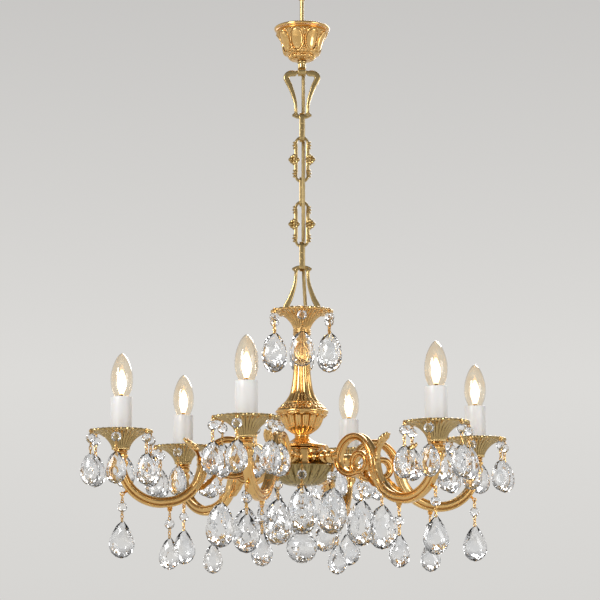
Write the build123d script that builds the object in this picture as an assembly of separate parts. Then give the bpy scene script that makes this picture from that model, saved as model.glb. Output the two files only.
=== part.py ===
from build123d import *
import math
import os

os.makedirs("parts", exist_ok=True)

# Whole chandelier: heights run down from the ceiling face at zero
arm_count = 6
first_arm_angle = 13.7
candle_circle_radius = 256.0
running_gap = 0.3

# Ceiling plate and hook
plate_radius = 31.0
plate_thickness = 3.0
screw_spacing = 46.0
screw_hole_radius = 2.25
hook_ring_radius = 8.0
hook_wire_radius = 2.5
hook_shank_radius = 4.0
hook_shank_length = 6.0

# Hanger stem and canopy cup
stem_radius = 3.2
stem_eye_radius = 7.0
stem_eye_wire_radius = 2.2
stem_collar_radius = 4.6
stem_collar_length = 8.0
stem_length = 98.0
ferrule_radius = 6.8
ferrule_length = 9.5
canopy_depth = 50.0
canopy_rim_radius = 38.5
canopy_belly_radius = 30.0
canopy_waist_radius = 26.0
canopy_foot_radius = 19.5
canopy_foot_height = 7.0
canopy_wall = 2.0
canopy_gadroons = 9
canopy_gadroon_depth = 0.06
canopy_lip_radius = 2.0

# Chain links
link_thickness = 5.0
link_band = 3.8
arch_radius = 6.6
lyre_drop = 59.0
lyre_half_width = 26.7
lyre_shoulder_radius = 9.5
lyre_leg_waist = 15.4
lyre_leg_width = 7.2
lyre_lip_reach = 13.2
lyre_eye_radius = 3.9
lyre_eye_wall = 2.6
lyre_eye_neck = 2.2
leaf_arch_spacing = 47.4
leaf_rosette_offset = 11.6
leaf_rosette_radius = 7.4
leaf_lobe_radius = 3.8
leaf_lobe_height = 15.5
bar_width = 7.0
bar_wall = 2.6
bar_eye_radius = 4.4
bar_eye_spacing = 29.1

# Supply cord woven through the chain
cord_radius = 2.5
cord_gland_radius = 3.8
cord_weave = 11.0
cord_side = 2.0
cord_end_side = 5.4

# Turned body on its tie rod
tie_rod_radius = 4.0
tie_rod_fit = 0.2
loop_stem_length = 17.5
loop_nut_radius = 8.0
loop_nut_height = 7.0
dish_radius = 44.0
dish_depth = 29.0
dish_neck_radius = 11.6
column_length = 101.0
column_radius = 11.8
column_foot_radius = 25.5
column_flutes = 12
shoulder_height = 12.7
shoulder_radius = 36.0
bead_radius = 2.1
cup_height = 32.4
cup_radius = 34.7
cup_foot_radius = 11.3
cup_tongues = 16
bell_height = 13.0
bell_neck_radius = 8.4
bell_flange_radius = 35.0
bell_flange_thickness = 2.8
hub_radius = 25.0
hub_height = 24.6
boss_radius = 9.2
boss_drop = 3.0
boss_reach = 64.0
tenon_radius = 5.0
tenon_depth = 14.0
bowl_radius = 47.6
bowl_depth = 29.3
bowl_foot_radius = 12.0
finial_radius = 7.0
finial_height = 8.5

# Scroll arm, in its own plane: distance out from the axis and height above the lowest bend
arm_width = 13.0
arm_height = 14.2
crest_section = 10.0
arm_bevel = 3.2
arm_top_height = 66.5
outer_bend_radius = 56.0
inner_bend_radius = 66.0
scroll_height = 64.3
crest_out = 103.0
crest_height = 56.5
volute_radius = 21.5
volute_section = 8.6
volute_sweep = 122.0
eye_ring_out = 115.0
eye_ring_height = 53.0
eye_ring_radius = 12.4
eye_ring_section = 7.4
leaf_tip_out = 166.0
leaf_tip_height = 87.0
leaf_crest_height = 89.0
leaf_root_height = 44.0
spur_out = 116.0
spur_height = 37.5
outer_lug_out = 253.0
outer_lug_height = 7.6
middle_lug_out = 187.0
middle_lug_height = -5.6
lug_thickness = 3.0
lug_radius = 3.4
pin_radius = 1.2

# Candle unit
pan_radius = 43.5
pan_depth = 27.0
pan_neck_radius = 12.0
pan_wall = 1.8
pan_flutes = 24
flute_depth = 0.05
collar_radius = 10.0
collar_height = 5.4
sleeve_radius = 15.0
sleeve_wall = 1.4
sleeve_length = 55.0
holder_radius = 13.3
holder_length = 47.0
holder_neck_radius = 8.0
holder_neck_height = 16.0
holder_flange = 2.0
holder_stub_radius = 4.5
holder_stub_length = 18.0
socket_radius = 7.3
socket_depth = 30.0
bulb_radius = 15.6
bulb_base_radius = 7.0
bulb_base_length = 26.0
bulb_height = 61.0

# Crystal strings
bead_width = 14.0
bead_thickness = 7.0
wire_width = 1.4
small_drop = (28.5, 43.0)
large_drop = (36.0, 52.0)
hub_drop = (44.0, 64.0)
drop_flatness = 0.42
ball_radius = 21.8
ball_level = -74.0
ball_bead = 26.0
outer_bead = 17.4
outer_drop = 35.4
inner_bead = 14.0
inner_drop = 31.0
middle_bead = 20.0
middle_drop = 37.0
rim_bead = 12.0
rim_drop = 33.0
bowl_bead = 15.0
bowl_drop = 30.0
string_twist = 14.0
pan_turns = (4.0, -6.0, 9.0, 13.0, 2.0, 0.0)
rim_gap = wire_width / 2 + 0.1
dish_string_angle = 30.0
bowl_string_angle = 30.0

# Levels that follow from the sizes above
hook_level = -plate_thickness - hook_shank_length - hook_ring_radius
stem_eye_level = hook_level - hook_ring_radius - (
    stem_eye_radius - stem_eye_wire_radius - hook_wire_radius - running_gap
)
ferrule_top = stem_eye_level - stem_eye_radius - stem_length
canopy_bottom = ferrule_top
canopy_top = canopy_bottom + canopy_depth
lyre_top = ferrule_top - ferrule_length - lyre_eye_radius - lyre_eye_neck
strap_edge = math.sqrt((arch_radius - running_gap) ** 2 - (bar_width / 2) ** 2)
arch_to_eye = strap_edge + math.sqrt(bar_eye_radius ** 2 - (link_thickness / 2) ** 2)
link_step = 2 * arch_to_eye + bar_eye_spacing
lyre_arch_level = lyre_top - lyre_drop
leaf_levels = [
    lyre_arch_level - link_step,
    lyre_arch_level - 2 * link_step - leaf_arch_spacing,
]
lower_arch_level = leaf_levels[1] - leaf_arch_spacing - link_step
lower_lyre_level = lower_arch_level - lyre_drop
bar_levels = [
    lyre_arch_level - arch_to_eye,
    leaf_levels[0] - leaf_arch_spacing - arch_to_eye,
    leaf_levels[1] - leaf_arch_spacing - arch_to_eye,
]
dish_bottom = lower_lyre_level - lyre_eye_radius - lyre_eye_wall - loop_stem_length
dish_top = dish_bottom + dish_depth
loop_nut_top = dish_bottom + pan_wall + loop_nut_height
column_bottom = dish_bottom - column_length
shoulder_bottom = column_bottom - shoulder_height
cup_top = shoulder_bottom - 2 * bead_radius
cup_bottom = cup_top - cup_height
hub_top = cup_bottom - bell_height - bell_flange_thickness
hub_bottom = hub_top - hub_height
boss_level = (hub_top + hub_bottom) / 2 - boss_drop
bowl_top = hub_bottom
bowl_bottom = bowl_top - bowl_depth
arm_level = boss_level - scroll_height
pan_collar_bottom = arm_level + arm_top_height
pan_bottom = pan_collar_bottom + collar_height
pan_top = pan_bottom + pan_depth
holder_bottom = pan_bottom + pan_wall
sleeve_bottom = holder_bottom + holder_neck_height
sleeve_top = sleeve_bottom + sleeve_length
holder_top = sleeve_bottom + holder_length
arm_angles = [first_arm_angle + k * 360 / arm_count for k in range(arm_count)]


def save(name, shape):
    export_step(shape, "parts/" + name + ".step")
    print(name, len(shape.solids()), round(shape.volume))


def turned(points):
    """A solid of revolution about Z from a closed outline of (radius, height) points."""
    return revolve(Plane.XZ * make_face(Polyline(*points, close=True)), Axis.Z)


def disc(radius, low, high):
    return Pos(0, 0, low) * Cylinder(radius, high - low, align=(Align.CENTER, Align.CENTER, Align.MIN))


def scalloped(radius, height, ribs, depth):
    """The corners of an outline with ribs crests and as many hollows between them."""
    points = []
    for step in range(2 * ribs):
        reach = radius if step % 2 == 0 else radius * (1 - depth)
        points.append((reach * math.cos(math.pi * step / ribs), reach * math.sin(math.pi * step / ribs), height))
    return points


def fluted(levels, ribs, depth):
    """A ribbed solid of flat facets through (radius, height) levels, each a scaled copy of one outline."""
    rings = [scalloped(radius, height, ribs, depth) for radius, height in levels]
    faces = [Face(Wire.make_polygon(rings[0])), Face(Wire.make_polygon(rings[-1]))]
    for low, high in zip(rings, rings[1:]):
        for here in range(2 * ribs):
            after = (here + 1) % (2 * ribs)
            faces.append(Face(Wire.make_polygon([low[here], low[after], high[after], high[here]])))
    return Part() + Solid(Shell(faces))


def trumpet(rim_radius, neck_radius, low, height, wall, ribs, bore):
    """A fluted dish that flares from its neck to its rim, open above, with a bored floor."""
    share = ((0.0, 0.0), (0.1, 0.3), (0.32, 0.66), (0.68, 0.88), (1.0, 1.0))
    outer = [(neck_radius + (rim_radius - neck_radius) * a, low + height * b) for a, b in share]
    inner = [(radius - wall, level + wall) for radius, level in outer]
    hollow = fluted(inner, ribs, flute_depth)
    return fluted(outer, ribs, flute_depth) - hollow - disc(bore, low - 1, low + height)


def ring(centre_radius, wire_radius, plane):
    return plane * Torus(centre_radius, wire_radius)


def ceiling_plate():
    plate = disc(plate_radius, -plate_thickness, 0)
    for side in (-1, 1):
        plate -= Pos(side * screw_spacing / 2, 0, 0) * disc(screw_hole_radius, -plate_thickness - 1, 1)
    return plate - disc(hook_shank_radius - 1, -plate_thickness - 1, 1)


def ceiling_hook():
    hook = Pos(0, 0, hook_level) * ring(hook_ring_radius, hook_wire_radius, Plane.XZ)
    hook += disc(hook_shank_radius, hook_level + hook_ring_radius, -plate_thickness)
    return hook + disc(hook_shank_radius - 1, -plate_thickness, 0)


def hanger_stem():
    eye_bottom = stem_eye_level - stem_eye_radius
    stem = Pos(0, 0, stem_eye_level) * ring(stem_eye_radius, stem_eye_wire_radius, Plane.YZ)
    stem += disc(stem_collar_radius, eye_bottom - stem_collar_length, eye_bottom)
    stem += disc(stem_radius, ferrule_top, eye_bottom)
    stem += turned([
        (0, ferrule_top), (ferrule_radius, ferrule_top), (ferrule_radius, ferrule_top - 3),
        (ferrule_radius - 1.2, ferrule_top - 4.5), (ferrule_radius - 1.2, ferrule_top - ferrule_length),
        (0, ferrule_top - ferrule_length),
    ])
    stem += suspension_eye(lyre_top, ferrule_top - ferrule_length + 0.5)
    gland = Pos(cord_side, cord_weave, 0) * disc(cord_gland_radius, ferrule_top - ferrule_length, ferrule_top - 2)
    bridge = Pos(0, cord_weave / 2, ferrule_top - ferrule_length / 2 - 1) * Box(4, cord_weave, 6)
    return stem + bridge + gland


def suspension_eye(level, joined_at):
    """A drilled lug across the X axis, tied to a stem that ends at joined_at."""
    outer = lyre_eye_radius + lyre_eye_wall
    lug = Pos(0, 0, level) * Rot(0, 90, 0) * Cylinder(outer, link_thickness)
    middle = (level + joined_at) / 2
    lug += Pos(0, 0, middle) * Box(link_thickness, 1.6 * lyre_eye_radius, abs(level - joined_at))
    return lug - Pos(0, 0, level) * Rot(0, 90, 0) * Cylinder(lyre_eye_radius, 3 * link_thickness)


def canopy_cup():
    outer = [
        (canopy_foot_radius - 3, canopy_bottom), (canopy_foot_radius, canopy_bottom + 3),
        (canopy_foot_radius, canopy_bottom + canopy_foot_height),
        (canopy_waist_radius, canopy_bottom + 0.24 * canopy_depth),
        (canopy_belly_radius, canopy_bottom + 0.5 * canopy_depth),
        (canopy_rim_radius - 1, canopy_bottom + 0.88 * canopy_depth), (canopy_rim_radius, canopy_top - 1),
    ]
    inner = [(radius - canopy_wall - 1.6, level + canopy_wall) for radius, level in outer[3:]]
    cup = fluted(outer, 2 * canopy_gadroons, canopy_gadroon_depth)
    cup += Pos(0, 0, canopy_top - canopy_lip_radius) * Torus(canopy_rim_radius, canopy_lip_radius)
    cup -= fluted(inner, 2 * canopy_gadroons, canopy_gadroon_depth)
    return cup - disc(stem_radius + running_gap, canopy_bottom - 1, canopy_top)


def lyre_outline(inset, leg_inset):
    """One closed lyre outline: a straight top bar, drawn-in legs and a round lower arch."""
    half = link_band / 2 - inset
    side = lyre_half_width - leg_inset
    corner = lyre_shoulder_radius + half
    arch = arch_radius + link_band / 2 + half
    start = side - corner
    waist = lyre_leg_waist + link_band / 2 - 0.8 * leg_inset
    right = Line((0, half), (start, half))
    right += RadiusArc((start, half), (side, half - corner), corner)
    right += ThreePointArc((side, half - corner), (waist, -0.62 * lyre_drop), (arch, -lyre_drop))
    right += RadiusArc((arch, -lyre_drop), (0, -lyre_drop - arch), arch)
    return make_face(right + mirror(right, Plane.YZ))


def lyre(level, flip):
    lip_low = -lyre_drop - arch_radius - link_band
    lip = make_face(Polyline(
        (4, lip_low), (lyre_lip_reach - 3, lip_low + 1.4), (lyre_lip_reach, lip_low + 4.4),
        (lyre_lip_reach - 1.4, lip_low + 5.2), (arch_radius + link_band / 2, lip_low + 4.6), close=True,
    ))
    face = lyre_outline(0, 0) + lip + mirror(lip, Plane.YZ) - lyre_outline(link_band, lyre_leg_width)
    link = extrude(Plane.XZ * face, link_thickness / 2, both=True)
    if flip:
        link = Rot(0, 180, 0) * link
    return Pos(0, 0, level) * link


def star(radius, petals):
    """A flat ornament with pointed petals."""
    points = []
    for step in range(2 * petals):
        reach = radius if step % 2 == 0 else 0.62 * radius
        points.append((reach * math.cos(math.pi * step / petals), reach * math.sin(math.pi * step / petals)))
    return make_face(Polyline(*points, close=True))


def leaf_link(level):
    """A long link with three-lobed curls near its ends and a four-petal rosette on each side."""
    middle = -leaf_arch_spacing / 2
    outer = SlotCenterToCenter(leaf_arch_spacing, 2 * (arch_radius + link_band), rotation=90)
    inner = SlotCenterToCenter(leaf_arch_spacing, 2 * arch_radius, rotation=90)
    face = Pos(0, middle) * outer
    for side in (-1, 1):
        face += Pos(side * leaf_rosette_offset, middle) * star(leaf_rosette_radius, 4)
        for end in (-1, 1):
            lobe_out = arch_radius + link_band
            face += Pos(side * lobe_out, middle + end * leaf_lobe_height) * star(leaf_lobe_radius, 6)
    face -= Pos(0, middle) * inner
    return Pos(0, 0, level) * extrude(Plane.XZ * face, link_thickness / 2, both=True)


def bar_link(level):
    """A narrow strap link across the X axis; level is the middle of its upper eye."""
    outer = SlotCenterToCenter(bar_eye_spacing, 2 * (bar_eye_radius + bar_wall), rotation=90)
    inner = SlotCenterToCenter(bar_eye_spacing, 2 * bar_eye_radius, rotation=90)
    strap = extrude(Plane.YZ * (outer - inner), bar_width / 2, both=True)
    return Pos(0, 0, level - bar_eye_spacing / 2) * strap


def supply_cord():
    """The lead passes behind, through and before the links in turn, down into the top dish."""
    far = cord_weave
    route = [(cord_side, far, ferrule_top - ferrule_length - 0.2)]
    route.append((cord_side, far - 1.5, lyre_top - 0.45 * lyre_drop))
    for index, level in enumerate(bar_levels):
        place = far if index % 2 == 0 else -far
        route.append((cord_side, place, level + 3))
        route.append((cord_side, place, level - bar_eye_spacing - 3))
    route.append((cord_end_side, 0.9 * far, lower_lyre_level + 6))
    route.append((cord_end_side, 0.42 * far, loop_nut_top + 10))
    route.append((cord_end_side, 0.42 * far, loop_nut_top + running_gap))
    radii = []
    for before, here, after in zip(route, route[1:], route[2:]):
        first = Vector(*here) - Vector(*before)
        second = Vector(*after) - Vector(*here)
        half_turn = math.radians(first.get_angle(second)) / 2
        radii.append(0.45 * min(first.length, second.length) / math.tan(half_turn))
    print("cord bend radii", [round(radius) for radius in radii])
    path = FilletPolyline(*route, radius=radii)
    tube = sweep(Plane(path @ 0, z_dir=path % 0) * Circle(cord_radius), path=path)
    print("cord volume", round(tube.volume), round(math.pi * cord_radius ** 2 * path.length))
    return tube


def body_loop():
    eye = suspension_eye(lower_lyre_level, dish_bottom + pan_wall + 6)
    nut_low = dish_bottom + pan_wall
    nut = Pos(0, 0, nut_low) * extrude(RegularPolygon(loop_nut_radius, 6), loop_nut_height)
    return eye + nut - disc(tie_rod_radius + tie_rod_fit, nut_low - 1, nut_low + 5)


def tie_rod():
    return disc(tie_rod_radius, bowl_bottom - 6, dish_bottom + pan_wall + 4.8)


def column():
    levels = [
        (column_radius + 1.5, dish_bottom), (column_radius, dish_bottom - 4),
        (column_radius + 0.4, dish_bottom - 0.55 * column_length),
        (column_radius + 3.6, dish_bottom - 0.76 * column_length),
        (column_radius + 7.6, dish_bottom - 0.9 * column_length), (column_foot_radius, column_bottom),
    ]
    return fluted(levels, column_flutes, 0.14) - rod_bore(column_bottom, dish_bottom)


def rod_bore(low, high):
    return disc(tie_rod_radius + tie_rod_fit, low - 1, high + 1)


def urn_shoulder():
    shoulder = turned([
        (0, column_bottom), (column_foot_radius + 1, column_bottom), (shoulder_radius - 5, shoulder_bottom + 5),
        (shoulder_radius, shoulder_bottom), (0, shoulder_bottom),
    ])
    shoulder += disc(shoulder_radius - 0.6, shoulder_bottom - 2 * bead_radius, shoulder_bottom)
    shoulder += Pos(0, 0, shoulder_bottom - bead_radius) * Torus(shoulder_radius - 0.6, bead_radius)
    return shoulder - rod_bore(cup_top, column_bottom)


def urn_cup():
    share = ((1.0, 0.0), (0.87, 0.26), (0.72, 0.61), (0.46, 0.83), (0.0, 1.0))
    span = cup_radius - cup_foot_radius
    levels = [(cup_foot_radius + span * a, cup_top - cup_height * b) for a, b in share]
    return fluted(levels, cup_tongues, 0.08) - rod_bore(cup_bottom, cup_top)


def hub_bell():
    flange_top = cup_bottom - bell_height
    bell = turned([
        (0, cup_bottom), (cup_foot_radius, cup_bottom), (cup_foot_radius, cup_bottom - 2),
        (bell_neck_radius, cup_bottom - 3), (bell_neck_radius + 2, cup_bottom - 6),
        (bell_neck_radius + 7, cup_bottom - 0.75 * bell_height), (bell_flange_radius - 9, flange_top + 1),
        (bell_flange_radius, flange_top), (bell_flange_radius, hub_top), (0, hub_top),
    ])
    return bell - rod_bore(hub_top, cup_bottom)


def along_arm(shape, angle):
    return Rot(0, 0, angle) * shape


def hub():
    """The hub drum with a ring-turned boss for each arm."""
    drum = disc(hub_radius, hub_bottom, hub_top)
    profile = [(0, 0), (boss_radius - 2, 0)]
    rings = 3
    step = (boss_reach - hub_radius) / rings
    for number in range(rings):
        start = hub_radius + number * step
        profile += [(boss_radius - 2, start), (boss_radius, start + 0.3 * step), (boss_radius, start + 0.7 * step)]
    profile += [(boss_radius - 2, boss_reach), (0, boss_reach)]
    boss = Pos(0, 0, boss_level) * Rot(0, 90, 0) * turned(profile)
    bore = Pos(boss_reach, 0, boss_level) * Rot(0, -90, 0) * disc(tenon_radius + tie_rod_fit, 0, tenon_depth + 1)
    for angle in arm_angles:
        drum += along_arm(boss, angle)
    for angle in arm_angles:
        drum -= along_arm(bore, angle)
    return drum - rod_bore(hub_bottom, hub_top)


def hub_bowl():
    share = ((0.0, 0.0), (0.3, 0.1), (0.62, 0.36), (0.86, 0.72), (1.0, 1.0))
    span = bowl_radius - bowl_foot_radius
    outer = [(bowl_foot_radius + span * a, bowl_bottom + bowl_depth * b) for a, b in share]
    inner = [(radius - pan_wall, level + pan_wall) for radius, level in outer]
    post = disc(bowl_foot_radius - 3, bowl_bottom, bowl_top)
    shell = fluted(outer, pan_flutes, flute_depth) - fluted(inner, pan_flutes, flute_depth)
    return shell + post - rod_bore(bowl_bottom, bowl_top)


def bowl_finial():
    low = bowl_bottom - finial_height
    knob = turned([
        (0, bowl_bottom), (finial_radius, bowl_bottom), (finial_radius, bowl_bottom - 2),
        (finial_radius - 2.5, bowl_bottom - 3.5), (finial_radius - 1, bowl_bottom - 5.5),
        (finial_radius - 4, low), (0, low),
    ])
    knob -= disc(tie_rod_radius + tie_rod_fit, bowl_bottom - 6, bowl_bottom + 1)
    return knob + Pos(0, 0, low + 1) * hanging_lug()


def hanging_lug():
    """A small drilled tab below its own top, across the Y axis; the pin hole is at lug_radius below."""
    tab = Plane.XZ * extrude(Circle(lug_radius), lug_thickness / 2, both=True)
    tab += Pos(0, 0, lug_radius / 2) * Box(2 * lug_radius, lug_thickness, lug_radius)
    tab -= Plane.XZ * Cylinder(pin_radius + running_gap, 3 * lug_thickness)
    return Pos(0, 0, -lug_radius) * tab


def arm_section(height):
    half_width = arm_width / 2
    half = height / 2
    bevel = min(arm_bevel, 0.35 * height)
    return make_face(Polyline(
        (half_width, half - bevel), (half_width - bevel, half), (bevel - half_width, half),
        (-half_width, half - bevel), (-half_width, bevel - half), (bevel - half_width, -half),
        (half_width - bevel, -half), (half_width, bevel - half), close=True,
    ))


def bend(centre, radius, start, sweep_angle):
    return CenterArc(centre, radius, start, sweep_angle)


def swept(path, height):
    """Sweep the arm's moulded section along a path drawn in the XZ plane."""
    path = Plane.XZ * path
    start = Plane(path @ 0, x_dir=(0, 1, 0), z_dir=path % 0)
    return sweep(start * arm_section(height), path=path)


def scroll_arm():
    """One arm: candle riser, deep U bend, crest over the scroll and the volute with its eye."""
    bend_out = candle_circle_radius - outer_bend_radius
    dx = bend_out - crest_out
    dy = inner_bend_radius - crest_height
    crest_radius = math.hypot(dx, dy) - inner_bend_radius
    tilt = math.degrees(math.atan2(dy, dx))
    run = Line((candle_circle_radius, arm_top_height), (candle_circle_radius, outer_bend_radius))
    run += bend((bend_out, outer_bend_radius), outer_bend_radius, 0, -90)
    run += bend((bend_out, inner_bend_radius), inner_bend_radius, -90, tilt - 90)
    arm = swept(run, arm_height)
    arm += swept(bend((crest_out, crest_height), crest_radius, tilt - 6, 186 - tilt), crest_section)
    inner_side = crest_out - crest_radius
    volute_out = inner_side + volute_radius
    arm += swept(bend((volute_out, crest_height), volute_radius, 180, volute_sweep), volute_section)
    eye_half = eye_ring_section / 2
    eye = Circle(eye_ring_radius + eye_half) - Circle(eye_ring_radius - eye_half)
    eye_ring = extrude(Pos(eye_ring_out, eye_ring_height) * eye, (arm_width - 2) / 2, both=True)
    arm += Plane.XZ * eye_ring
    arm += Plane.XZ * extrude(arm_leaf(bend_out), (arm_width - 2) / 2, both=True)
    arm += Plane.XZ * extrude(arm_spur(), (arm_width - 5) / 2, both=True)
    arm += Pos(spur_out, 0, spur_height) * hanging_lug()
    arm += Pos(outer_lug_out, 0, outer_lug_height + lug_radius) * outer_lug()
    arm += Pos(middle_lug_out, 0, middle_lug_height) * hanging_lug()
    tenon_end = boss_reach - tenon_depth
    tenon = Pos(0, 0, scroll_height) * Rot(0, 90, 0) * disc(tenon_radius, tenon_end, inner_side)
    pad = Pos(0, 0, scroll_height) * Rot(0, 90, 0) * disc(boss_radius - 2, boss_reach, inner_side)
    arm += tenon + pad
    arm -= disc_at_candle(holder_stub_radius + tie_rod_fit, arm_top_height - holder_stub_length, arm_top_height + 1)
    return Pos(0, 0, arm_level) * arm


def disc_at_candle(radius, low, high):
    return Pos(candle_circle_radius, 0, 0) * disc(radius, low, high)


def outer_lug():
    """The drilled tab that stands out from the outer bend."""
    tab = Pos(-lug_radius - 4, 0, 0) * Box(2 * lug_radius + 8, lug_thickness, 1.6 * lug_radius)
    tab += Plane.XZ * extrude(Circle(lug_radius), lug_thickness / 2, both=True)
    tab -= Plane.XZ * Cylinder(pin_radius + running_gap, 3 * lug_thickness)
    return tab


def arm_leaf(bend_out):
    """Side view of the curled leaf that springs from the turn of the scroll."""
    limb = bend_out - inner_bend_radius
    root_low = (limb + 8, leaf_root_height)
    root_high = (limb, scroll_height)
    crest = (leaf_tip_out - 9, leaf_crest_height)
    tip = (leaf_tip_out, leaf_tip_height)
    under = (leaf_tip_out - 4, leaf_tip_height - 6)
    neck = (leaf_tip_out - 19, leaf_tip_height - 24)
    edge = ThreePointArc(root_high, (limb + 11, leaf_crest_height - 11), crest)
    edge += ThreePointArc(crest, (leaf_tip_out - 3, leaf_crest_height + 0.6), tip)
    edge += Line(tip, under)
    edge += ThreePointArc(under, (leaf_tip_out - 13, leaf_tip_height - 14), neck)
    edge += ThreePointArc(neck, (limb + 10, leaf_root_height + 9), root_low)
    edge += Line(root_low, root_high)
    return make_face(edge)


def arm_spur():
    """Side view of the short stub under the eye of the scroll that carries the inner string."""
    high = eye_ring_height - eye_ring_radius
    return make_face(Polyline(
        (spur_out - 4, high), (spur_out - lug_radius, spur_height - 0.5),
        (spur_out + lug_radius, spur_height - 0.5), (spur_out + 4, high), close=True,
    ))


def candle_pan():
    return trumpet(pan_radius, pan_neck_radius, pan_bottom, pan_depth, pan_wall, pan_flutes,
                   holder_stub_radius + tie_rod_fit)


def pan_collar():
    collar = turned([
        (0, pan_bottom), (collar_radius - 1, pan_bottom), (collar_radius, pan_bottom - 1.5),
        (collar_radius, pan_collar_bottom + 1.5), (collar_radius - 1.5, pan_collar_bottom), (0, pan_collar_bottom),
    ])
    return collar - disc(holder_stub_radius + tie_rod_fit, pan_collar_bottom - 1, pan_bottom + 1)


def lampholder():
    holder = disc(holder_radius, sleeve_bottom, holder_top)
    holder += disc(holder_neck_radius, holder_bottom, sleeve_bottom)
    holder += disc(sleeve_radius, sleeve_bottom - holder_flange, sleeve_bottom)
    holder += disc(holder_stub_radius, holder_bottom - holder_stub_length, holder_bottom)
    return holder - disc(socket_radius, holder_top - socket_depth, holder_top + 1)


def candle_sleeve():
    tube = disc(sleeve_radius, sleeve_bottom, sleeve_top)
    return tube - disc(sleeve_radius - sleeve_wall, sleeve_bottom - 1, sleeve_top + 1)


def candle_bulb():
    """A candle lamp: screw base, narrow neck, egg-shaped glass and drawn tip."""
    shoulder = holder_top + 1
    base_low = holder_top - bulb_base_length
    tip = sleeve_top + bulb_height
    glass = Line((0, base_low), (bulb_base_radius, base_low))
    glass += Line((bulb_base_radius, base_low), (bulb_base_radius, shoulder))
    belly = (bulb_radius, sleeve_top + 0.36 * bulb_height)
    glass += ThreePointArc((bulb_base_radius, shoulder), (0.86 * bulb_radius, sleeve_top + 9), belly)
    glass += ThreePointArc(belly, (0.72 * bulb_radius, sleeve_top + 0.7 * bulb_height), (2.2, tip - 1))
    glass += Line((2.2, tip - 1), (0, tip))
    glass += Line((0, tip), (0, base_low))
    return revolve(Plane.XZ * make_face(glass), Axis.Z)


def octagon_bead(level):
    points = []
    for step in range(8):
        turn = math.radians(22.5 + 45 * step)
        for reach, depth in ((0.5, 0), (0.3, 0.5), (0.3, -0.5)):
            points.append((depth * bead_thickness, reach * bead_width * math.cos(turn),
                           level + reach * bead_width * math.sin(turn)))
    return ConvexPolyhedron(points)


def pear_drop(size, top):
    """A flat pear-shaped drop with a raised front and back, hung by its narrow end."""
    width, height = size
    outline = ((0.12, 0.0), (0.48, 0.17), (0.74, 0.32), (0.92, 0.46), (1.0, 0.61), (0.9, 0.78), (0.52, 0.95), (0.2, 1.0))
    points = []
    for across, down in outline:
        for side in (-1, 1):
            points.append((0, side * across * width / 2, top - down * height))
            for face in (-1, 1):
                inner = top - height * (0.61 + 0.55 * (down - 0.61))
                points.append((face * drop_flatness * width / 2, side * 0.5 * across * width / 2, inner))
    return ConvexPolyhedron(points)


def wire(high, low):
    return Pos(0, 0, (high + low) / 2) * Box(wire_width, wire_width, high - low)


def string(size, bead_drop, drop_start, hook, turn):
    """Bead and drop on one wire below z = 0, turned about it; a stirrup round a lug pin where hook is set."""
    crystal = Rot(0, 0, turn) * (octagon_bead(-bead_drop) + pear_drop(size, -drop_start))
    if not hook:
        return crystal + wire(0, -drop_start - 2)
    crystal += wire(-lug_radius - 1.5, -drop_start - 2)
    return crystal + stirrup()


def stirrup():
    spread = lug_thickness / 2 + running_gap + wire_width / 2
    low = -lug_radius - 1.5
    clip = Plane.XZ * Cylinder(pin_radius, 2 * spread)
    for side in (-1, 1):
        clip += Pos(0, side * spread, (low + pin_radius) / 2) * Box(2 * pin_radius, wire_width, pin_radius - low)
    return clip + Pos(0, 0, low) * Box(2 * pin_radius, 2 * spread + wire_width, wire_width)


def ball_string():
    points = []
    for row, lift in ((0.0, 1.0), (0.7, 0.714), (1.0, 0.0), (0.7, -0.714), (0.0, -1.0)):
        for step in range(10):
            turn = math.radians(36 * step)
            points.append((row * ball_radius * math.cos(turn), row * ball_radius * math.sin(turn),
                           ball_level + lift * ball_radius))
    ball = ConvexPolyhedron(points)
    return ball + octagon_bead(-ball_bead) + wire(-lug_radius - 1.5, ball_level + ball_radius - 2) + stirrup()


# Ceiling fixing, hanger stem and canopy
save("ceiling_plate", ceiling_plate())
save("ceiling_hook", ceiling_hook())
save("hanger_stem", hanger_stem())
save("canopy_cup", canopy_cup())

# Chain and cord
save("lyre_link_upper", lyre(lyre_top, False))
save("lyre_link_lower", lyre(lower_lyre_level, True))
for number, level in enumerate(leaf_levels, 1):
    save("leaf_link_" + str(number), leaf_link(level))
for number, level in enumerate(bar_levels, 1):
    save("bar_link_" + str(number), bar_link(level))
save("supply_cord", supply_cord())

# Turned body
save("body_loop", body_loop())
save("tie_rod", tie_rod())
save("top_dish", trumpet(dish_radius, dish_neck_radius, dish_bottom, dish_depth, pan_wall, pan_flutes,
                         tie_rod_radius + tie_rod_fit))
save("column", column())
save("urn_shoulder", urn_shoulder())
save("urn_cup", urn_cup())
save("hub_bell", hub_bell())
save("hub", hub())
save("hub_bowl", hub_bowl())
save("bowl_finial", bowl_finial())

# Arms and candle units
arm = scroll_arm()
pan = candle_pan()
bulb = candle_bulb()
for number, angle in enumerate(arm_angles, 1):
    save("scroll_arm_" + str(number), along_arm(arm, angle))
    place = Rot(0, 0, angle) * Pos(candle_circle_radius, 0, 0)
    save("candle_pan_" + str(number), place * Rot(0, 0, pan_turns[number - 1]) * pan)
    save("bulb_" + str(number), place * bulb)


def around(shape):
    """The same piece at every candle."""
    return Compound([Rot(0, 0, angle) * Pos(candle_circle_radius, 0, 0) * shape for angle in arm_angles])


save("pan_collars", around(pan_collar()))
save("lampholders", around(lampholder()))
save("candle_sleeves", around(candle_sleeve()))

# Crystal strings: each hangs from its lug or rim and turns its flat side to the front
def facing(angle, count):
    """The turn about its wire that shows a string's flat side to the front, give or take a little."""
    return -90 - angle + string_twist * math.sin(2.4 * count)


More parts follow.
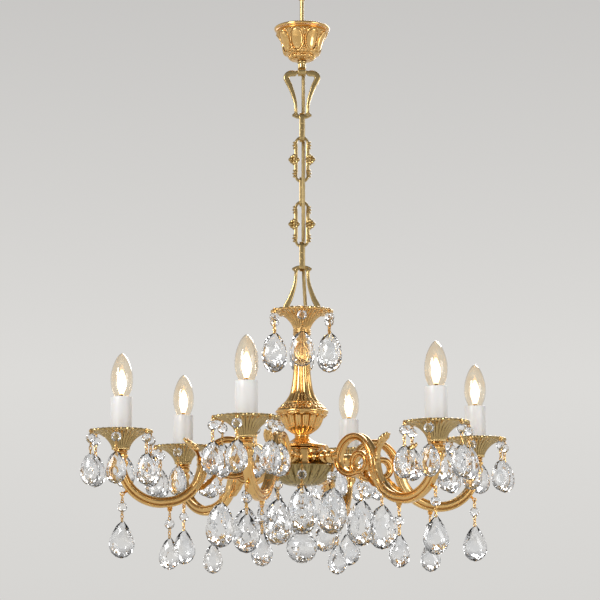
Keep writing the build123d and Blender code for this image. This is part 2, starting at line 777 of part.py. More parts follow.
outer_level = arm_level + outer_lug_height + lug_radius
inner_level = arm_level + spur_height - lug_radius
middle_level = arm_level + middle_lug_height - lug_radius
middle_strings = []
pan_strings = []
for number, angle in enumerate(arm_angles, 1):
    turn = facing(angle, number)
    spoke = Rot(0, 0, angle)
    outer = string(large_drop, outer_bead, outer_drop, True, turn)
    save("outer_string_" + str(number), spoke * Pos(outer_lug_out, 0, outer_level) * outer)
    inner = string(hub_drop, inner_bead, inner_drop, True, turn)
    save("inner_string_" + str(number), spoke * Pos(spur_out, 0, inner_level) * inner)
    middle = string(small_drop, middle_bead, middle_drop, True, turn)
    middle_strings.append(spoke * Pos(middle_lug_out, 0, middle_level) * middle)
    for count, side in enumerate(arm_angles):
        around_pan = side + pan_turns[number - 1]
        hung = string(small_drop, rim_bead, rim_drop, False, facing(around_pan, number + count))
        place = spoke * Pos(candle_circle_radius, 0, pan_top - 1) * Rot(0, 0, around_pan - angle)
        pan_strings.append(place * Pos(pan_radius + rim_gap, 0, 0) * hung)
save("middle_strings", Compound(middle_strings))
save("pan_strings", Compound(pan_strings))
save("ball_string", Pos(0, 0, bowl_bottom - finial_height + 1 - lug_radius) * ball_string())


def rim_strings(size, first_angle, radius, level, bead, drop):
    """A ring of strings round a rim, one for each arm."""
    hung = []
    for count in range(arm_count):
        angle = first_angle + count * 360 / arm_count
        place = Rot(0, 0, angle) * Pos(radius + rim_gap, 0, level - 1)
        hung.append(place * string(size, bead, drop, False, facing(angle, count)))
    return Compound(hung)


save("dish_strings", rim_strings(large_drop, dish_string_angle, dish_radius, dish_top, rim_bead, rim_drop))
save("bowl_strings", rim_strings(hub_drop, bowl_string_angle, bowl_radius, bowl_top, bowl_bead, bowl_drop))
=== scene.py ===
import bmesh
import bpy
import math
from mathutils import Matrix, Vector


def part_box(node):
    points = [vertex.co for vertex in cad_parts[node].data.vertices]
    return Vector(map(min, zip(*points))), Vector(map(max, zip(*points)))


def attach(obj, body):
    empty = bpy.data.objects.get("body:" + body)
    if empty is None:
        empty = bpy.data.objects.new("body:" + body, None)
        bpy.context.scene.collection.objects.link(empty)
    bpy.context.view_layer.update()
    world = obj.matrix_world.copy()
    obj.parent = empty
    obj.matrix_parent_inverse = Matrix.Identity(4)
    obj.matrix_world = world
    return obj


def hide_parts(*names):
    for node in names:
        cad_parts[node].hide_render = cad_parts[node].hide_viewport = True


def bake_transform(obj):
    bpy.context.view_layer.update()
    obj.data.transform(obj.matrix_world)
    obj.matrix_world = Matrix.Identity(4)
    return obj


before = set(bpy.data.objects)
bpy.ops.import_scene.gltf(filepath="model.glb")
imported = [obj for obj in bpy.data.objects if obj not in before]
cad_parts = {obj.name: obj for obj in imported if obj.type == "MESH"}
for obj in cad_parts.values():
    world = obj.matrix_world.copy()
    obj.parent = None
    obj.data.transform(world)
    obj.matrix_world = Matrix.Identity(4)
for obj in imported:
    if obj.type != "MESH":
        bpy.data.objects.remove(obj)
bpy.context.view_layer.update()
scene = bpy.context.scene
mm = 0.001
perMetre = 1000
fullCircle = 2 * math.pi
here = Matrix.Identity(4)
creaseAngle = 38


# shared mesh helpers, all in millimetres; a form is its vertices and its faces

def boxOf(node):
    low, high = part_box(node)
    return Vector(low) * perMetre, Vector(high) * perMetre


def lift(x, y, z):
    return Matrix.Translation((x, y, z))


def up(z):
    return lift(0, 0, z)


def spin(degrees, axis="Z"):
    return Matrix.Rotation(math.radians(degrees), 4, axis)


def shifted(profile, level, scale=1):
    return [(r, level + scale * z) for r, z in profile]


def softLine(points, per):
    pts = [Vector(p) for p in points]
    last = len(pts) - 1
    line = []
    for i in range(last):
        a, b, c, d = pts[max(i - 1, 0)], pts[i], pts[i + 1], pts[min(i + 2, last)]
        for s in range(per):
            t = s / per
            line.append(0.5 * (2 * b + (c - a) * t + (2 * a - 5 * b + 4 * c - d) * t * t
                               + (3 * b - a - 3 * c + d) * t ** 3))
    return line + [pts[-1]]


def startPiece():
    return [], []


def addTo(piece, form, place=here):
    first = len(piece[0])
    piece[0].extend(place @ Vector(v) for v in form[0])
    piece[1].extend(tuple(first + i for i in f) for f in form[1])
    return piece


def skin(rings, along=False, caps=False):
    rows, cols = len(rings), len(rings[0])
    verts = [p for ring in rings for p in ring]
    faces = []
    for i in range(rows if along else rows - 1):
        for j in range(cols):
            k, n = (j + 1) % cols, (i + 1) % rows
            faces.append((i * cols + j, i * cols + k, n * cols + k, n * cols + j))
    if caps:
        faces.append(tuple(range(cols))[::-1])
        faces.append(tuple((rows - 1) * cols + j for j in range(cols)))
    return verts, faces


def turnedRings(profile, steps, relief=None):
    rings = []
    last = max(len(profile) - 1, 1)
    for row, (reach, level) in enumerate(profile):
        ring = []
        for s in range(steps):
            turn = fullCircle * s / steps
            out = relief(turn, row / last, reach, level) if relief else reach
            ring.append((out * math.cos(turn), out * math.sin(turn), level))
        rings.append(ring)
    return rings


def turned(profile, steps, relief=None):
    return skin(turnedRings(profile, steps, relief), caps=True)


def turnedShell(outer, inner, steps, relief=None):
    # relief shapes the outside, the inside is plain
    return skin(turnedRings(outer, steps, relief) + turnedRings(inner, steps), along=True)


def hoop(radius, wire, steps, around, bead=None, sway=None):
    rings = []
    for s in range(steps):
        turn = fullCircle * s / steps
        thick = wire * bead(turn) if bead else wire
        ring = []
        for k in range(around):
            a = fullCircle * k / around
            reach = radius + thick * math.cos(a) + (sway(turn) if sway else 0)
            ring.append((reach * math.cos(turn), reach * math.sin(turn), thick * math.sin(a)))
        rings.append(ring)
    return skin(rings, along=True)


def addHoop(piece, look, base, steps, around, bead=None):
    radius, wire, level = look
    addTo(piece, hoop(radius, wire, steps, around, bead), up(base + level))


def pebble(radii, rows, cols):
    rings = []
    for i in range(rows + 1):
        tilt = math.pi * (i / rows - 0.5)
        flat = max(math.cos(tilt), 0.02)
        rings.append([(radii[0] * flat * math.cos(fullCircle * k / cols),
                       radii[1] * flat * math.sin(fullCircle * k / cols),
                       radii[2] * math.sin(tilt)) for k in range(cols)])
    return skin(rings, caps=True)


def planeSweep(path, section, side, scales=None, closed=False):
    # section points are (across, rise): across runs along side, rise stays in the path's plane
    side = Vector(side)
    rings = []
    last = len(path) - 1
    for i, p in enumerate(path):
        if closed:
            ahead = path[(i + 1) % len(path)] - path[i - 1]
        else:
            ahead = path[min(i + 1, last)] - path[max(i - 1, 0)]
        rise = side.cross(ahead.normalized())
        wide, high = scales[i] if scales else (1, 1)
        rings.append([p + side * (s[0] * wide) + rise * (s[1] * high) for s in section])
    return skin(rings, along=closed, caps=not closed)


def roundedBar(width, height, corner, per=3):
    points = []
    for cx, cy, start in ((1, 1, 0), (-1, 1, 90), (-1, -1, 180), (1, -1, 270)):
        for k in range(per + 1):
            a = math.radians(start + 90 * k / per)
            points.append((cx * (width / 2 - corner) + corner * math.cos(a),
                           cy * (height / 2 - corner) + corner * math.sin(a)))
    return points


def arc(x, z, radius, start, sweep, steps):
    points = []
    for k in range(steps + 1):
        a = math.radians(start + sweep * k / steps)
        points.append(Vector((x + radius * math.cos(a), 0, z + radius * math.sin(a))))
    return points


# shared shapes of relief

def across(turn, count, shift=0):
    # from -1 to 1 over each of the repeats round a turned form
    return ((turn * count / fullCircle + shift) % 1 - 0.5) * 2


def dome(place, size):
    return math.sqrt(max(0, 1 - (place / size) ** 2))


def ridge(place, middle, half):
    return max(0, 1 - ((place - middle) / half) ** 2)


def leafRib(turn, count):
    a = across(turn, count)
    return math.sqrt(max(0, 1 - 0.96 * a * a))  # rounded leaves, sharp valleys


def beaded(base, swell, count):
    return lambda turn: base + swell * abs(math.cos(count * turn))


def clamp(value):
    return min(max(value, 0), 1)


# finishes

def setInputs(tree, node, values):
    for key, value in values.items():
        if isinstance(value, bpy.types.NodeSocket):
            tree.links.new(value, node.inputs[key])
        else:
            node.inputs[key].default_value = value
    return node


def addNode(tree, kind, values):
    return setInputs(tree, tree.nodes.new("ShaderNode" + kind), values)


def newFinish(name):
    mat = bpy.data.materials.new(name)
    mat.use_nodes = True
    return mat, mat.node_tree, mat.node_tree.nodes["Principled BSDF"]


def spotOf(tree, kind="Object"):
    return addNode(tree, "TexCoord", {}).outputs[kind]


def axesOf(tree):
    return addNode(tree, "SeparateXYZ", {"Vector": spotOf(tree, "Generated")}).outputs


def clouds(tree, scale, detail, stretch=None):
    spot = spotOf(tree)
    if stretch:
        spot = addNode(tree, "Mapping", {"Vector": spot, "Scale": stretch}).outputs["Vector"]
    values = {"Vector": spot, "Scale": scale, "Detail": detail}
    return addNode(tree, "TexNoise", values).outputs["Fac"]


def ramp(tree, source, stops):
    node = addNode(tree, "ValToRGB", {"Fac": source})
    while len(node.color_ramp.elements) < len(stops):
        node.color_ramp.elements.new(0.5)
    for element, (place, colour) in zip(node.color_ramp.elements, stops):
        element.position = place
        element.color = (*colour, 1)
    return node.outputs["Color"]


def ranged(tree, source, low, high, fromLow=0.3, fromHigh=0.7):
    return addNode(tree, "MapRange", {
        "Value": source, "From Min": fromLow, "From Max": fromHigh,
        "To Min": low, "To Max": high}).outputs["Result"]


def bumped(tree, source, strength, depth):
    values = {"Strength": strength, "Distance": depth, "Height": source}
    return addNode(tree, "Bump", values).outputs["Normal"]


def joined(tree, operation, a, b):
    node = tree.nodes.new("ShaderNodeMath")
    node.operation = operation
    return setInputs(tree, node, {0: a, 1: b}).outputs["Value"]


def multiplied(tree, factor, a, b):
    node = tree.nodes.new("ShaderNodeMix")
    node.data_type = "RGBA"
    node.blend_type = "MULTIPLY"
    return setInputs(tree, node, {"Factor": factor, "A": a, "B": b}).outputs["Result"]


brassLook = {
    "polishedBrass": {"tone": (0.80, 0.49, 0.175), "pale": (0.86, 0.57, 0.235),
        "hollow": (0.26, 0.12, 0.035), "rough": (0.10, 0.18), "grain": 0.003},
    "castBrass": {"tone": (0.74, 0.47, 0.18), "pale": (0.82, 0.56, 0.25),
        "hollow": (0.20, 0.10, 0.03), "rough": (0.15, 0.23), "grain": 0.006},
    "antiqueBrass": {"tone": (0.50, 0.355, 0.15), "pale": (0.62, 0.46, 0.215),
        "hollow": (0.11, 0.065, 0.025), "rough": (0.17, 0.26), "grain": 0.008},
    # darker brass for the bowl: partly its age, partly painted shade
    "agedBrassPaintedShade": {"tone": (0.36, 0.27, 0.115), "pale": (0.47, 0.36, 0.165),
        "hollow": (0.08, 0.05, 0.02), "rough": (0.16, 0.25), "grain": 0.008},
    "steelFinish": {"tone": (0.52, 0.51, 0.49), "pale": (0.68, 0.67, 0.65),
        "hollow": (0.2, 0.19, 0.18), "rough": (0.25, 0.36), "grain": 0.03},
    }
# hollow colours darken creases found by pointiness: partly patina, partly painted shade
metalLook = {
    "clouds": (75, 5), "haze": (260, 6), "grain": (420, 2), "grainDepth": 0.0004,
    "patinaAndShadeMix": 0.85, "hollowAt": 0.43, "edgeAt": 0.497}


def brassFinish(name):
    look = brassLook[name]
    mat, tree, shader = newFinish(name)
    tones = ramp(tree, clouds(tree, *metalLook["clouds"]),
        ((0.3, look["tone"]), (0.72, look["pale"])))
    edges = addNode(tree, "NewGeometry", {}).outputs["Pointiness"]
    patinaAndShadeTint = ramp(tree, edges, ((metalLook["hollowAt"], look["hollow"]),  # patina and painted shade darken the hollows
                              (metalLook["edgeAt"], (1, 1, 1))))
    grain = clouds(tree, *metalLook["grain"])
    setInputs(tree, shader, {
        "Metallic": 1, "Base Color": multiplied(tree, metalLook["patinaAndShadeMix"], tones, patinaAndShadeTint),
        "Roughness": ranged(tree, clouds(tree, *metalLook["haze"]), *look["rough"]),
        "Normal": bumped(tree, grain, look["grain"], metalLook["grainDepth"])})
    return mat


tonedLook = {
    "crystal": {"name": "cutCrystal", "clouds": (40, 2), "rough": (0, 0.015),
        "tones": ((0.93, 0.955, 0.99), (1, 0.99, 0.97)),
        "values": {"Transmission Weight": 1, "IOR": 1.58}},
    "bulbGlass": {"name": "bulbGlass", "clouds": (60, 2), "rough": (0.01, 0.04),
        # the warm tones on the clear bulb glass are painted glow from the filament
        "tones": ((1, 0.90, 0.76), (1, 0.96, 0.88)),
        "values": {"Transmission Weight": 1, "IOR": 1.45}},
    "sleeve": {"name": "ivorySleeve", "clouds": (120, 4, (1, 1, 0.06)), "rough": (0.28, 0.42),
        "tones": ((0.87, 0.85, 0.83), (0.94, 0.93, 0.92)), "bump": (0.06, 0.0005),
        "values": {"Subsurface Weight": 0.15, "Subsurface Radius": (0.004, 0.003, 0.002)}},
    "holder": {"name": "porcelainHolder", "clouds": (500, 4), "rough": (0.3, 0.5),
        "tones": ((0.70, 0.68, 0.64), (0.80, 0.78, 0.75)), "bump": (0.1, 0.0003),
        "values": {}},
    }


def tonedFinish(look):
    mat, tree, shader = newFinish(look["name"])
    cloud = clouds(tree, *look["clouds"])
    setInputs(tree, shader, {
        "Base Color": ramp(tree, cloud, tuple(zip((0.3, 0.7), look["tones"]))),
        "Roughness": ranged(tree, cloud, *look["rough"]), **look["values"]})
    if "bump" in look:
        setInputs(tree, shader, {"Normal": bumped(tree, cloud, *look["bump"])})
    return mat


glowLook = {
    "strength": 5, "rough": 0.6, "stops": (
        (0, (1, 0.62, 0.26)), (0.35, (1, 0.86, 0.6)), (0.65, (1, 0.86, 0.6)), (1, (1, 0.6, 0.22)))}


def glowFinish():
    mat, tree, shader = newFinish("filamentGlow")
    warm = ramp(tree, axesOf(tree)["Z"], glowLook["stops"])
    setInputs(tree, shader, {"Base Color": warm, "Emission Color": warm,
                             "Emission Strength": glowLook["strength"],
                             "Roughness": glowLook["rough"]})
    return mat


weaveLook = {
    "tilts": (0.8, -0.8), "scale": 190, "distortion": 0.4, "metallic": 0.55,
    "rough": (0.5, 0.32, 0, 1), "bump": (0.4, 0.0005),
    "stops": ((0, (0.36, 0.25, 0.10)), (0.6, (0.80, 0.62, 0.30)))}


def cordFinish():
    mat, tree, shader = newFinish("braidedCord")
    spot = spotOf(tree)
    yarns = []
    for tilt in weaveLook["tilts"]:  # two crossing yarns
        leaning = addNode(tree, "Mapping", {"Vector": spot, "Rotation": (0, tilt, 0)})
        yarns.append(addNode(tree, "TexWave", {
            "Vector": leaning.outputs["Vector"], "Scale": weaveLook["scale"],
            "Distortion": weaveLook["distortion"]}).outputs["Fac"])
    weave = joined(tree, "MULTIPLY", *yarns)
    setInputs(tree, shader, {
        "Base Color": ramp(tree, weave, weaveLook["stops"]), "Metallic": weaveLook["metallic"],
        "Roughness": ranged(tree, weave, *weaveLook["rough"]),
        "Normal": bumped(tree, weave, *weaveLook["bump"])})
    return mat


finishes = {name: brassFinish(name) for name in brassLook}
finishes.update({name: tonedFinish(look) for name, look in tonedLook.items()})
finishes.update({"glow": glowFinish(), "cord": cordFinish()})
print("finishes ready", len(finishes))


def makePiece(name, form, finish, body, *nodes):
    mesh = bpy.data.meshes.new(name)
    mesh.from_pydata([Vector(v) * mm for v in form[0]], [], form[1])
    work = bmesh.new()
    work.from_mesh(mesh)
    bmesh.ops.recalc_face_normals(work, faces=work.faces)
    work.to_mesh(mesh)
    work.free()
    if finish == "crystal":  # cut facets stay flat
        mesh.shade_flat()
    else:
        mesh.shade_smooth()
        mesh.set_sharp_from_angle(angle=math.radians(creaseAngle))
    mesh.materials.append(finishes[finish])
    obj = bpy.data.objects.new(name, mesh)
    scene.collection.objects.link(obj)
    if body:
        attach(obj, body)
    if nodes:
        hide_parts(*nodes)
    return obj


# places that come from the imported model

armLook = {"outerBend": 56, "boss": 64.3, "top": 66.5}
armCount = 6
candles = []
for number in range(1, armCount + 1):
    low, high = boxOf("bulb_" + str(number))
    middle = (low + high) / 2
    candles.append({"angle": math.degrees(math.atan2(middle.y, middle.x)),
                    "radius": math.hypot(middle.x, middle.y), "base": low.z, "tip": high.z})
candleRadius = candles[0]["radius"]
armLevel = boxOf("pan_collars")[0].z - armLook["top"]
panLow, panHigh = boxOf("candle_pan_1")
sleeveLow, sleeveHigh = boxOf("candle_sleeves")
dishLow, dishHigh = boxOf("top_dish")
bowlLow, bowlHigh = boxOf("hub_bowl")


# canopy: a tulip cup with framed ovals

canopyLook = {
    "outside": ((7, 0.3), (10.6, 0.5), (14.2, 1.4), (17, 3), (18.6, 5), (19, 7),
        (19.6, 8), (22, 8.6), (24.4, 9.9), (26, 12.4), (27, 17), (28, 22.6),
        (30.4, 30), (34, 35.6), (36.6, 39.6), (36.8, 41.6), (35.8, 43.6), (35.6, 45.6)),
    "inside": ((34, 46.4), (32, 40), (27.6, 34), (24.4, 22), (22.4, 14), (6.6, 11),
        (5.2, 0.8)),
    "steps": 540, "ovals": 8, "first": -105, "plainAbove": 41, "sprayFrom": 1.1,
    "ovalLevel": 25.6, "ovalHeight": 16.4, "ovalWidth": 0.90, "ovalRise": 2.4, "frameRise": 2.2,
    "ground": -1.1, "sprays": 12, "sprayPitch": 0.5, "sprayRise": 2, "fadeIn": 1.6,
    "footTop": 8.2, "footLevel": 4.5, "footHeight": 3.5, "footWidth": 0.72, "footRise": 1.5,
    "footBoss": 0.9, "footGround": -0.6, "footSprays": 16, "footFade": 1.2,
    "lip": (38, 2.2, -2.2), "lipLine": (36, 0.9, 45.2), "footBead": (19.8, 0.8, 8.2)}


def canopyRelief(turn, share, reach, level):
    look = canopyLook
    if level > look["plainAbove"]:
        return reach
    half = math.pi / look["ovals"]
    place = turn - math.radians(look["first"])
    if level < look["footTop"]:  # small framed ovals round the foot
        a = (place % (2 * half) - half) / half / look["footWidth"]
        d = math.hypot(a, (level - look["footLevel"]) / look["footHeight"])
        rise = ridge(d, 0.96, 0.2) + look["footBoss"] * dome(d, 0.74)
        if d > look["sprayFrom"]:
            spray = abs(math.sin(look["footSprays"] * place))
            rise += look["footBoss"] * spray * min((d - look["sprayFrom"]) * 4, 1)
        fade = min(level / look["footFade"], 1)
        return reach + (look["footRise"] * rise + look["footGround"]) * fade
    a = ((place + half) % (2 * half) - half) / half / look["ovalWidth"]
    d = math.hypot(a, (level - look["ovalLevel"]) / look["ovalHeight"])
    rise = (look["ground"] + look["ovalRise"] * dome(d, 0.84)
            + look["frameRise"] * ridge(d, 0.97, 0.12))
    if d > look["sprayFrom"]:  # leaf sprays between the ovals
        along, slope = look["sprays"] * place, look["sprayPitch"] * level
        spray = abs(math.sin(along + slope)) * abs(math.sin(along - slope))
        rise += look["sprayRise"] * spray * min((d - look["sprayFrom"]) * 6, 1)
    return reach + rise * min((level - look["footTop"]) / look["fadeIn"], 1)


def makeCanopy():
    low, high = boxOf("canopy_cup")
    look = canopyLook
    cup = startPiece()
    outside = softLine(look["outside"], 6)
    addTo(cup, turnedShell(outside, look["inside"], look["steps"], canopyRelief), up(low.z))
    addHoop(cup, look["lip"], high.z, 120, 14)
    addHoop(cup, look["lipLine"], low.z, 120, 8)
    addHoop(cup, look["footBead"], low.z, 360, 8, beaded(0.8, 0.4, 30))
    makePiece("canopyCup", cup, "polishedBrass", "canopy", "canopy_cup")


# chain: stem, lyres, leaf links and straps

linkLook = {
    "thick": 5, "band": 3.8, "arch": 6.6, "archSpacing": 47.4, "rosetteOut": 11.2,
    "rosette": 8.3, "curlRise": 20.6, "ridge": (3.5, 4, 1.85),
    "ridges": ((1.3, 3.7, 16), (1.9, 0, 0), (1.3, -3.7, -16)),
    "leaf": ((2.6, 7), (0.8, 10), (0.2, 13))}
bandSection = roundedBar(linkLook["thick"], linkLook["band"], 1.1)
archRadius = linkLook["arch"] + linkLook["band"] / 2


stemLook = {
    "collar": ((3.4, -18), (5, -18.6), (5, -22), (3.2, -23)),
    "rod": 3, "rodTop": -24, "rodFoot": 6,
    "ferrule": ((3.2, 1), (6.6, -0.2), (6.8, -2.4), (5.6, -4), (5.6, -9.4)),
    "eye": (7, 2.2), "eyeDrop": 9.2, "lug": 5.2, "neckTop": -5, "neckFoot": 4.6,
    "gland": ((2.6, -2), (3.8, -2.6), (3.8, -8.6), (3, -9.6)),
    "glandAt": (2, 11, 0), "bridge": -5.8}


def makeStem():
    look = stemLook
    top = boxOf("hanger_stem")[1].z
    foot = boxOf("canopy_cup")[0].z
    level = boxOf("lyre_link_upper")[1].z - linkLook["band"] / 2
    rod = softLine(shifted(look["collar"], top), 4)
    ends = (top + look["rodTop"], foot + look["rodFoot"])
    rod += softLine([(look["rod"], z) for z in ends], 12)
    rod += softLine(shifted(look["ferrule"], foot), 5)
    piece = startPiece()
    addTo(piece, turned(rod, 40))
    addTo(piece, hoop(*look["eye"], 40, 14), up(top - look["eyeDrop"]) @ spin(90, "Y"))
    loop = [look["lug"] * Vector((0, math.cos(math.pi * k / 16), math.sin(math.pi * k / 16)))
            for k in range(32)]
    addTo(piece, planeSweep(loop, roundedBar(11.6, 2.4, 0.9), (1, 0, 0), None, True), up(level))
    neck = [Vector((0, 0, foot + look["neckTop"])), Vector((0, 0, level + look["neckFoot"]))]
    addTo(piece, planeSweep(neck, roundedBar(7.4, 10.4, 1.2), (0, 1, 0)))
    gland = softLine(shifted(look["gland"], foot), 4)
    addTo(piece, turned(gland, 28), lift(*look["glandAt"]))
    bridge = [Vector((0, 0, 0)), Vector(look["glandAt"])]
    bar = planeSweep(bridge, roundedBar(4, 5, 1.2), (0, 0, 1))
    addTo(piece, bar, up(foot + look["bridge"]))
    makePiece("hangerStem", piece, "antiqueBrass", "stem", "hanger_stem")


lyreLook = {
    "drop": 59, "half": 26.7, "corner": 7.5, "leg": 8.4, "taper": 5.6, "taperFrom": 0.15,
    "spare": 0.8, "eyeHalf": 6.4, "eyeGrow": 4.2, "eyeDepth": 0.06,
    "bar": ((0, 0), (3.2, 0), (6.4, 0.1), (8.6, 0.7), (10.6, 1), (12.4, 1)),
    "limb": ((19.9, -15.5), (17, -21.3), (13.4, -31), (10.4, -41), (8.9, -50)),
    "ears": ((((2, -8.9), (7, -8.4), (10.6, -7), (13.6, -5.6)), 0.9, 0.5),
        (((8.6, 4), (9, -0.6), (10.6, -3.6), (13.4, -5.6)), 1, 0.6))}


def lyreWidth(p):
    look, band = lyreLook, linkLook["band"]
    depth = clamp(-p.z / look["drop"])
    thinner = look["taper"] * max(depth - look["taperFrom"], 0)
    wide = max(look["leg"] - thinner, band + look["spare"])
    if depth < look["eyeDepth"]:
        grow = clamp((abs(p.x) - look["eyeHalf"]) / look["eyeGrow"])
        wide = min(wide, band + (look["leg"] - band) * grow)
    return wide / band


def makeLyre(name, node, body, flip):
    low, high = boxOf(node)
    look, band = lyreLook, linkLook["band"]
    half, corner, drop = look["half"] - look["leg"] / 2, look["corner"], look["drop"]
    deep = 0.5 * (look["leg"] - band)  # the top bar deepens from the eye
    right = [Vector((x, 0, -part * deep)) for x, part in look["bar"]]
    right += arc(half - corner, -corner - deep, corner, 90, -90, 10)
    limb = ((half, -corner - deep), *look["limb"], (archRadius, -drop))
    right += softLine([(x, 0, z) for x, z in limb], 6)[1:]
    right += arc(0, -drop, archRadius, 0, -90, 8)[1:]
    loop = right + [Vector((-p.x, 0, p.z)) for p in right[1:-1]][::-1]
    place = up(low.z + band / 2) @ spin(180, "Y") if flip else up(high.z - band / 2)
    piece = startPiece()
    widths = [(1, lyreWidth(p)) for p in loop]
    addTo(piece, planeSweep(loop, bandSection, (0, 1, 0), widths, True), place)
    for side in (-1, 1):  # flared ears at the arch
        for ear, wide, thin in look["ears"]:
            path = [Vector((side * q.x, 0, q.y)) for q in softLine(shifted(ear, -drop), 5)]
            widths = [(1.1, wide + (thin - wide) * i / len(path)) for i in range(len(path))]
            addTo(piece, planeSweep(path, bandSection, (0, side, 0), widths), place)
    makePiece(name, piece, "antiqueBrass", body, node)


def rosette(piece, place, size, short):
    def lobe(spot, x, y, z, rows, cols):
        addTo(piece, pebble((x * size, y * size, z * size), rows, cols), spot)

    for k in range(4):
        petal = place @ spin(90 * k, "Y")
        out = 0.34 if k == short else 0.58  # one petal clears the cord
        lobe(petal @ up(out * size), 0.40, 0.48, 0.42, 8, 14)
        lobe(petal @ lift(0.44 * size, 0, 0.44 * size), 0.27, 0.42, 0.27, 6, 10)
        for face in (-1, 1):  # a rib down each petal
            lobe(petal @ lift(0, face * 0.45 * size, out * size), 0.07, 0.12, 0.30, 5, 8)
    lobe(place, 0.40, 0.36, 0.40, 6, 12)
    for face in (-1, 1):
        lobe(place @ lift(0, face * 0.40 * size, 0), 0.22, 0.20, 0.22, 6, 12)


def longLoop(top, span, radius, bend, straight):
    loop = arc(0, top, radius, 180, -180, bend)
    loop += [Vector((radius, 0, top - span * k / straight)) for k in range(1, straight)]
    loop += arc(0, top - span, radius, 0, -180, bend)
    return loop + [Vector((-radius, 0, top - span * k / straight))
                   for k in range(straight - 1, 0, -1)]


def makeLeafLink(number):
    node = "leaf_link_" + str(number)
    span = linkLook["archSpacing"]
    top = boxOf(node)[1].z - linkLook["arch"] - linkLook["band"]
    middle = top - span / 2
    loop = longLoop(top, span, archRadius, 16, 10)
    legs = [(1, 1.3 if abs(p.z - middle) < 0.4 * span else 1) for p in loop]
    piece = startPiece()
    addTo(piece, planeSweep(loop, bandSection, (0, 1, 0), legs, True))
    for side in (-1, 1):
        centre = lift(side * linkLook["rosetteOut"], 0, middle)
        rosette(piece, centre, linkLook["rosette"], 3 if side > 0 else None)
        for end in (-1, 1):
            level = middle + end * linkLook["curlRise"]
            for dx, dz, tilt in linkLook["ridges"]:  # a curl of three ridges
                spot = lift(side * (archRadius + dx), 0, level + end * dz)
                addTo(piece, pebble(linkLook["ridge"], 8, 14), spot @ spin(-side * end * tilt, "Y"))
            leaf = softLine([(side * (archRadius + dx), 0, middle + end * dz)
                             for dx, dz in linkLook["leaf"]], 4)
            fade = [(1 - 0.5 * i / len(leaf), 1 - 0.6 * i / len(leaf)) for i in range(len(leaf))]
            addTo(piece, planeSweep(leaf, roundedBar(3.6, 2.6, 1), (0, 1, 0), fade))
    makePiece("leafLink" + str(number), piece, "antiqueBrass", "leaf_" + str(number), node)


strapLook = {
    "width": 7, "wall": 2.6, "eye": 4.4, "spacing": 29.1, "rivet": (1.2, 0.6, 1.2),
    "rivetAt": (0.34, 0.66)}


def makeStrap(number):
    node = "bar_link_" + str(number)
    look, span = strapLook, strapLook["spacing"]
    radius = look["eye"] + look["wall"] / 2
    top = boxOf(node)[1].z - look["eye"] - look["wall"]
    piece = startPiece()
    loop = longLoop(top, span, radius, 14, 6)
    section = roundedBar(look["width"], look["wall"], 0.8)
    addTo(piece, planeSweep(loop, section, (0, 1, 0), None, True), spin(90))
    for share in look["rivetAt"]:  # small rivets on the strap
        for side in (-1, 1):
            spot = lift(0, side * (radius + look["wall"] / 2), top - share * span)
            addTo(piece, pebble(look["rivet"], 5, 10), spot)
    makePiece("strapLink" + str(number), piece, "antiqueBrass", "bar_" + str(number), node)


makeCanopy()
makeStem()
makeLyre("upperLyre", "lyre_link_upper", "lyre_upper", False)
makeLyre("lowerLyre", "lyre_link_lower", "lyre_lower", True)
for number in (1, 2):
    makeLeafLink(number)
for number in (1, 2, 3):
    makeStrap(number)
print("chain ready")


# supply cord woven through the chain, one smooth line cut at the middle of each link

cordLook = {"radius": 2.7, "strands": 3, "lay": 34, "around": 24, "ripple": 0.05, "smooth": 14}
cordRoute = (
    (0.002, 0.011, -0.1417), (0.002, 0.0095, -0.17415), (0.002, 0.011, -0.212459),
    (0.002, 0.011, -0.247559), (0.002, -0.011, -0.306677), (0.002, -0.011, -0.341777),
    (0.002, 0.011, -0.400895), (0.002, 0.011, -0.435995), (0.0054, 0.0099, -0.494855),
    (0.0054, 0.00462, -0.506055), (0.0054, 0.00462, -0.515755))
# each run's lower cut, and the levels between which it bends
cordRuns = (
    (-175, -143, -166), (-230, -197, -218), (-277, -238, -262),
    (-324, -293, -316), (-371.5, -331, -356), (-418.5, -387, -411),
    (-471, -426, -450), (-600, -484, -508))


def cordLine():
    data = bpy.data.curves.new("cordLine", "CURVE")
    data.dimensions = "3D"
    data.resolution_u = cordLook["smooth"]
    spline = data.splines.new("NURBS")
    spline.points.add(len(cordRoute) - 1)
    for point, place in zip(spline.points, cordRoute):
        point.co = (*place, 1)
    spline.order_u = 3
    spline.use_endpoint_u = True
    obj = bpy.data.objects.new("cordLine", data)
    scene.collection.objects.link(obj)
    bpy.context.view_layer.update()
    shown = obj.evaluated_get(bpy.context.evaluated_depsgraph_get())
    mesh = bpy.data.meshes.new_from_object(shown)
    line = [v.co * perMetre for v in mesh.vertices]
    bpy.data.meshes.remove(mesh)
    bpy.data.objects.remove(obj)
    return line


def makeCord():
    look = cordLook
    line = cordLine()
    rings = []
    run = 0.0
    for i, p in enumerate(line):
        run += (p - line[max(i - 1, 0)]).length
        ahead = (line[min(i + 1, len(line) - 1)] - line[max(i - 1, 0)]).normalized()
        side = Vector((1, 0, 0))
        side = (side - ahead * side.dot(ahead)).normalized()
        other = ahead.cross(side)
        ring = []
        for k in range(look["around"]):
            a = fullCircle * k / look["around"]
            twist = look["strands"] * (a + fullCircle * run / look["lay"])
            reach = look["radius"] * (1 - look["ripple"] + look["ripple"] * math.cos(twist))
            ring.append(p + side * (reach * math.cos(a)) + other * (reach * math.sin(a)))
        rings.append(ring)
    first = 0
    for number, (cut, start, end) in enumerate(cordRuns):
        last = max(i for i, p in enumerate(line) if p.z >= cut)
        form = skin(rings[first:last + 1], caps=True)
        obj = makePiece("cordRun" + str(number + 1), form, "cord", None, "supply_cord")
        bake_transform(obj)
        first = last


makeCord()
print("cord ready")


# turned body: dish, column, urn and hub

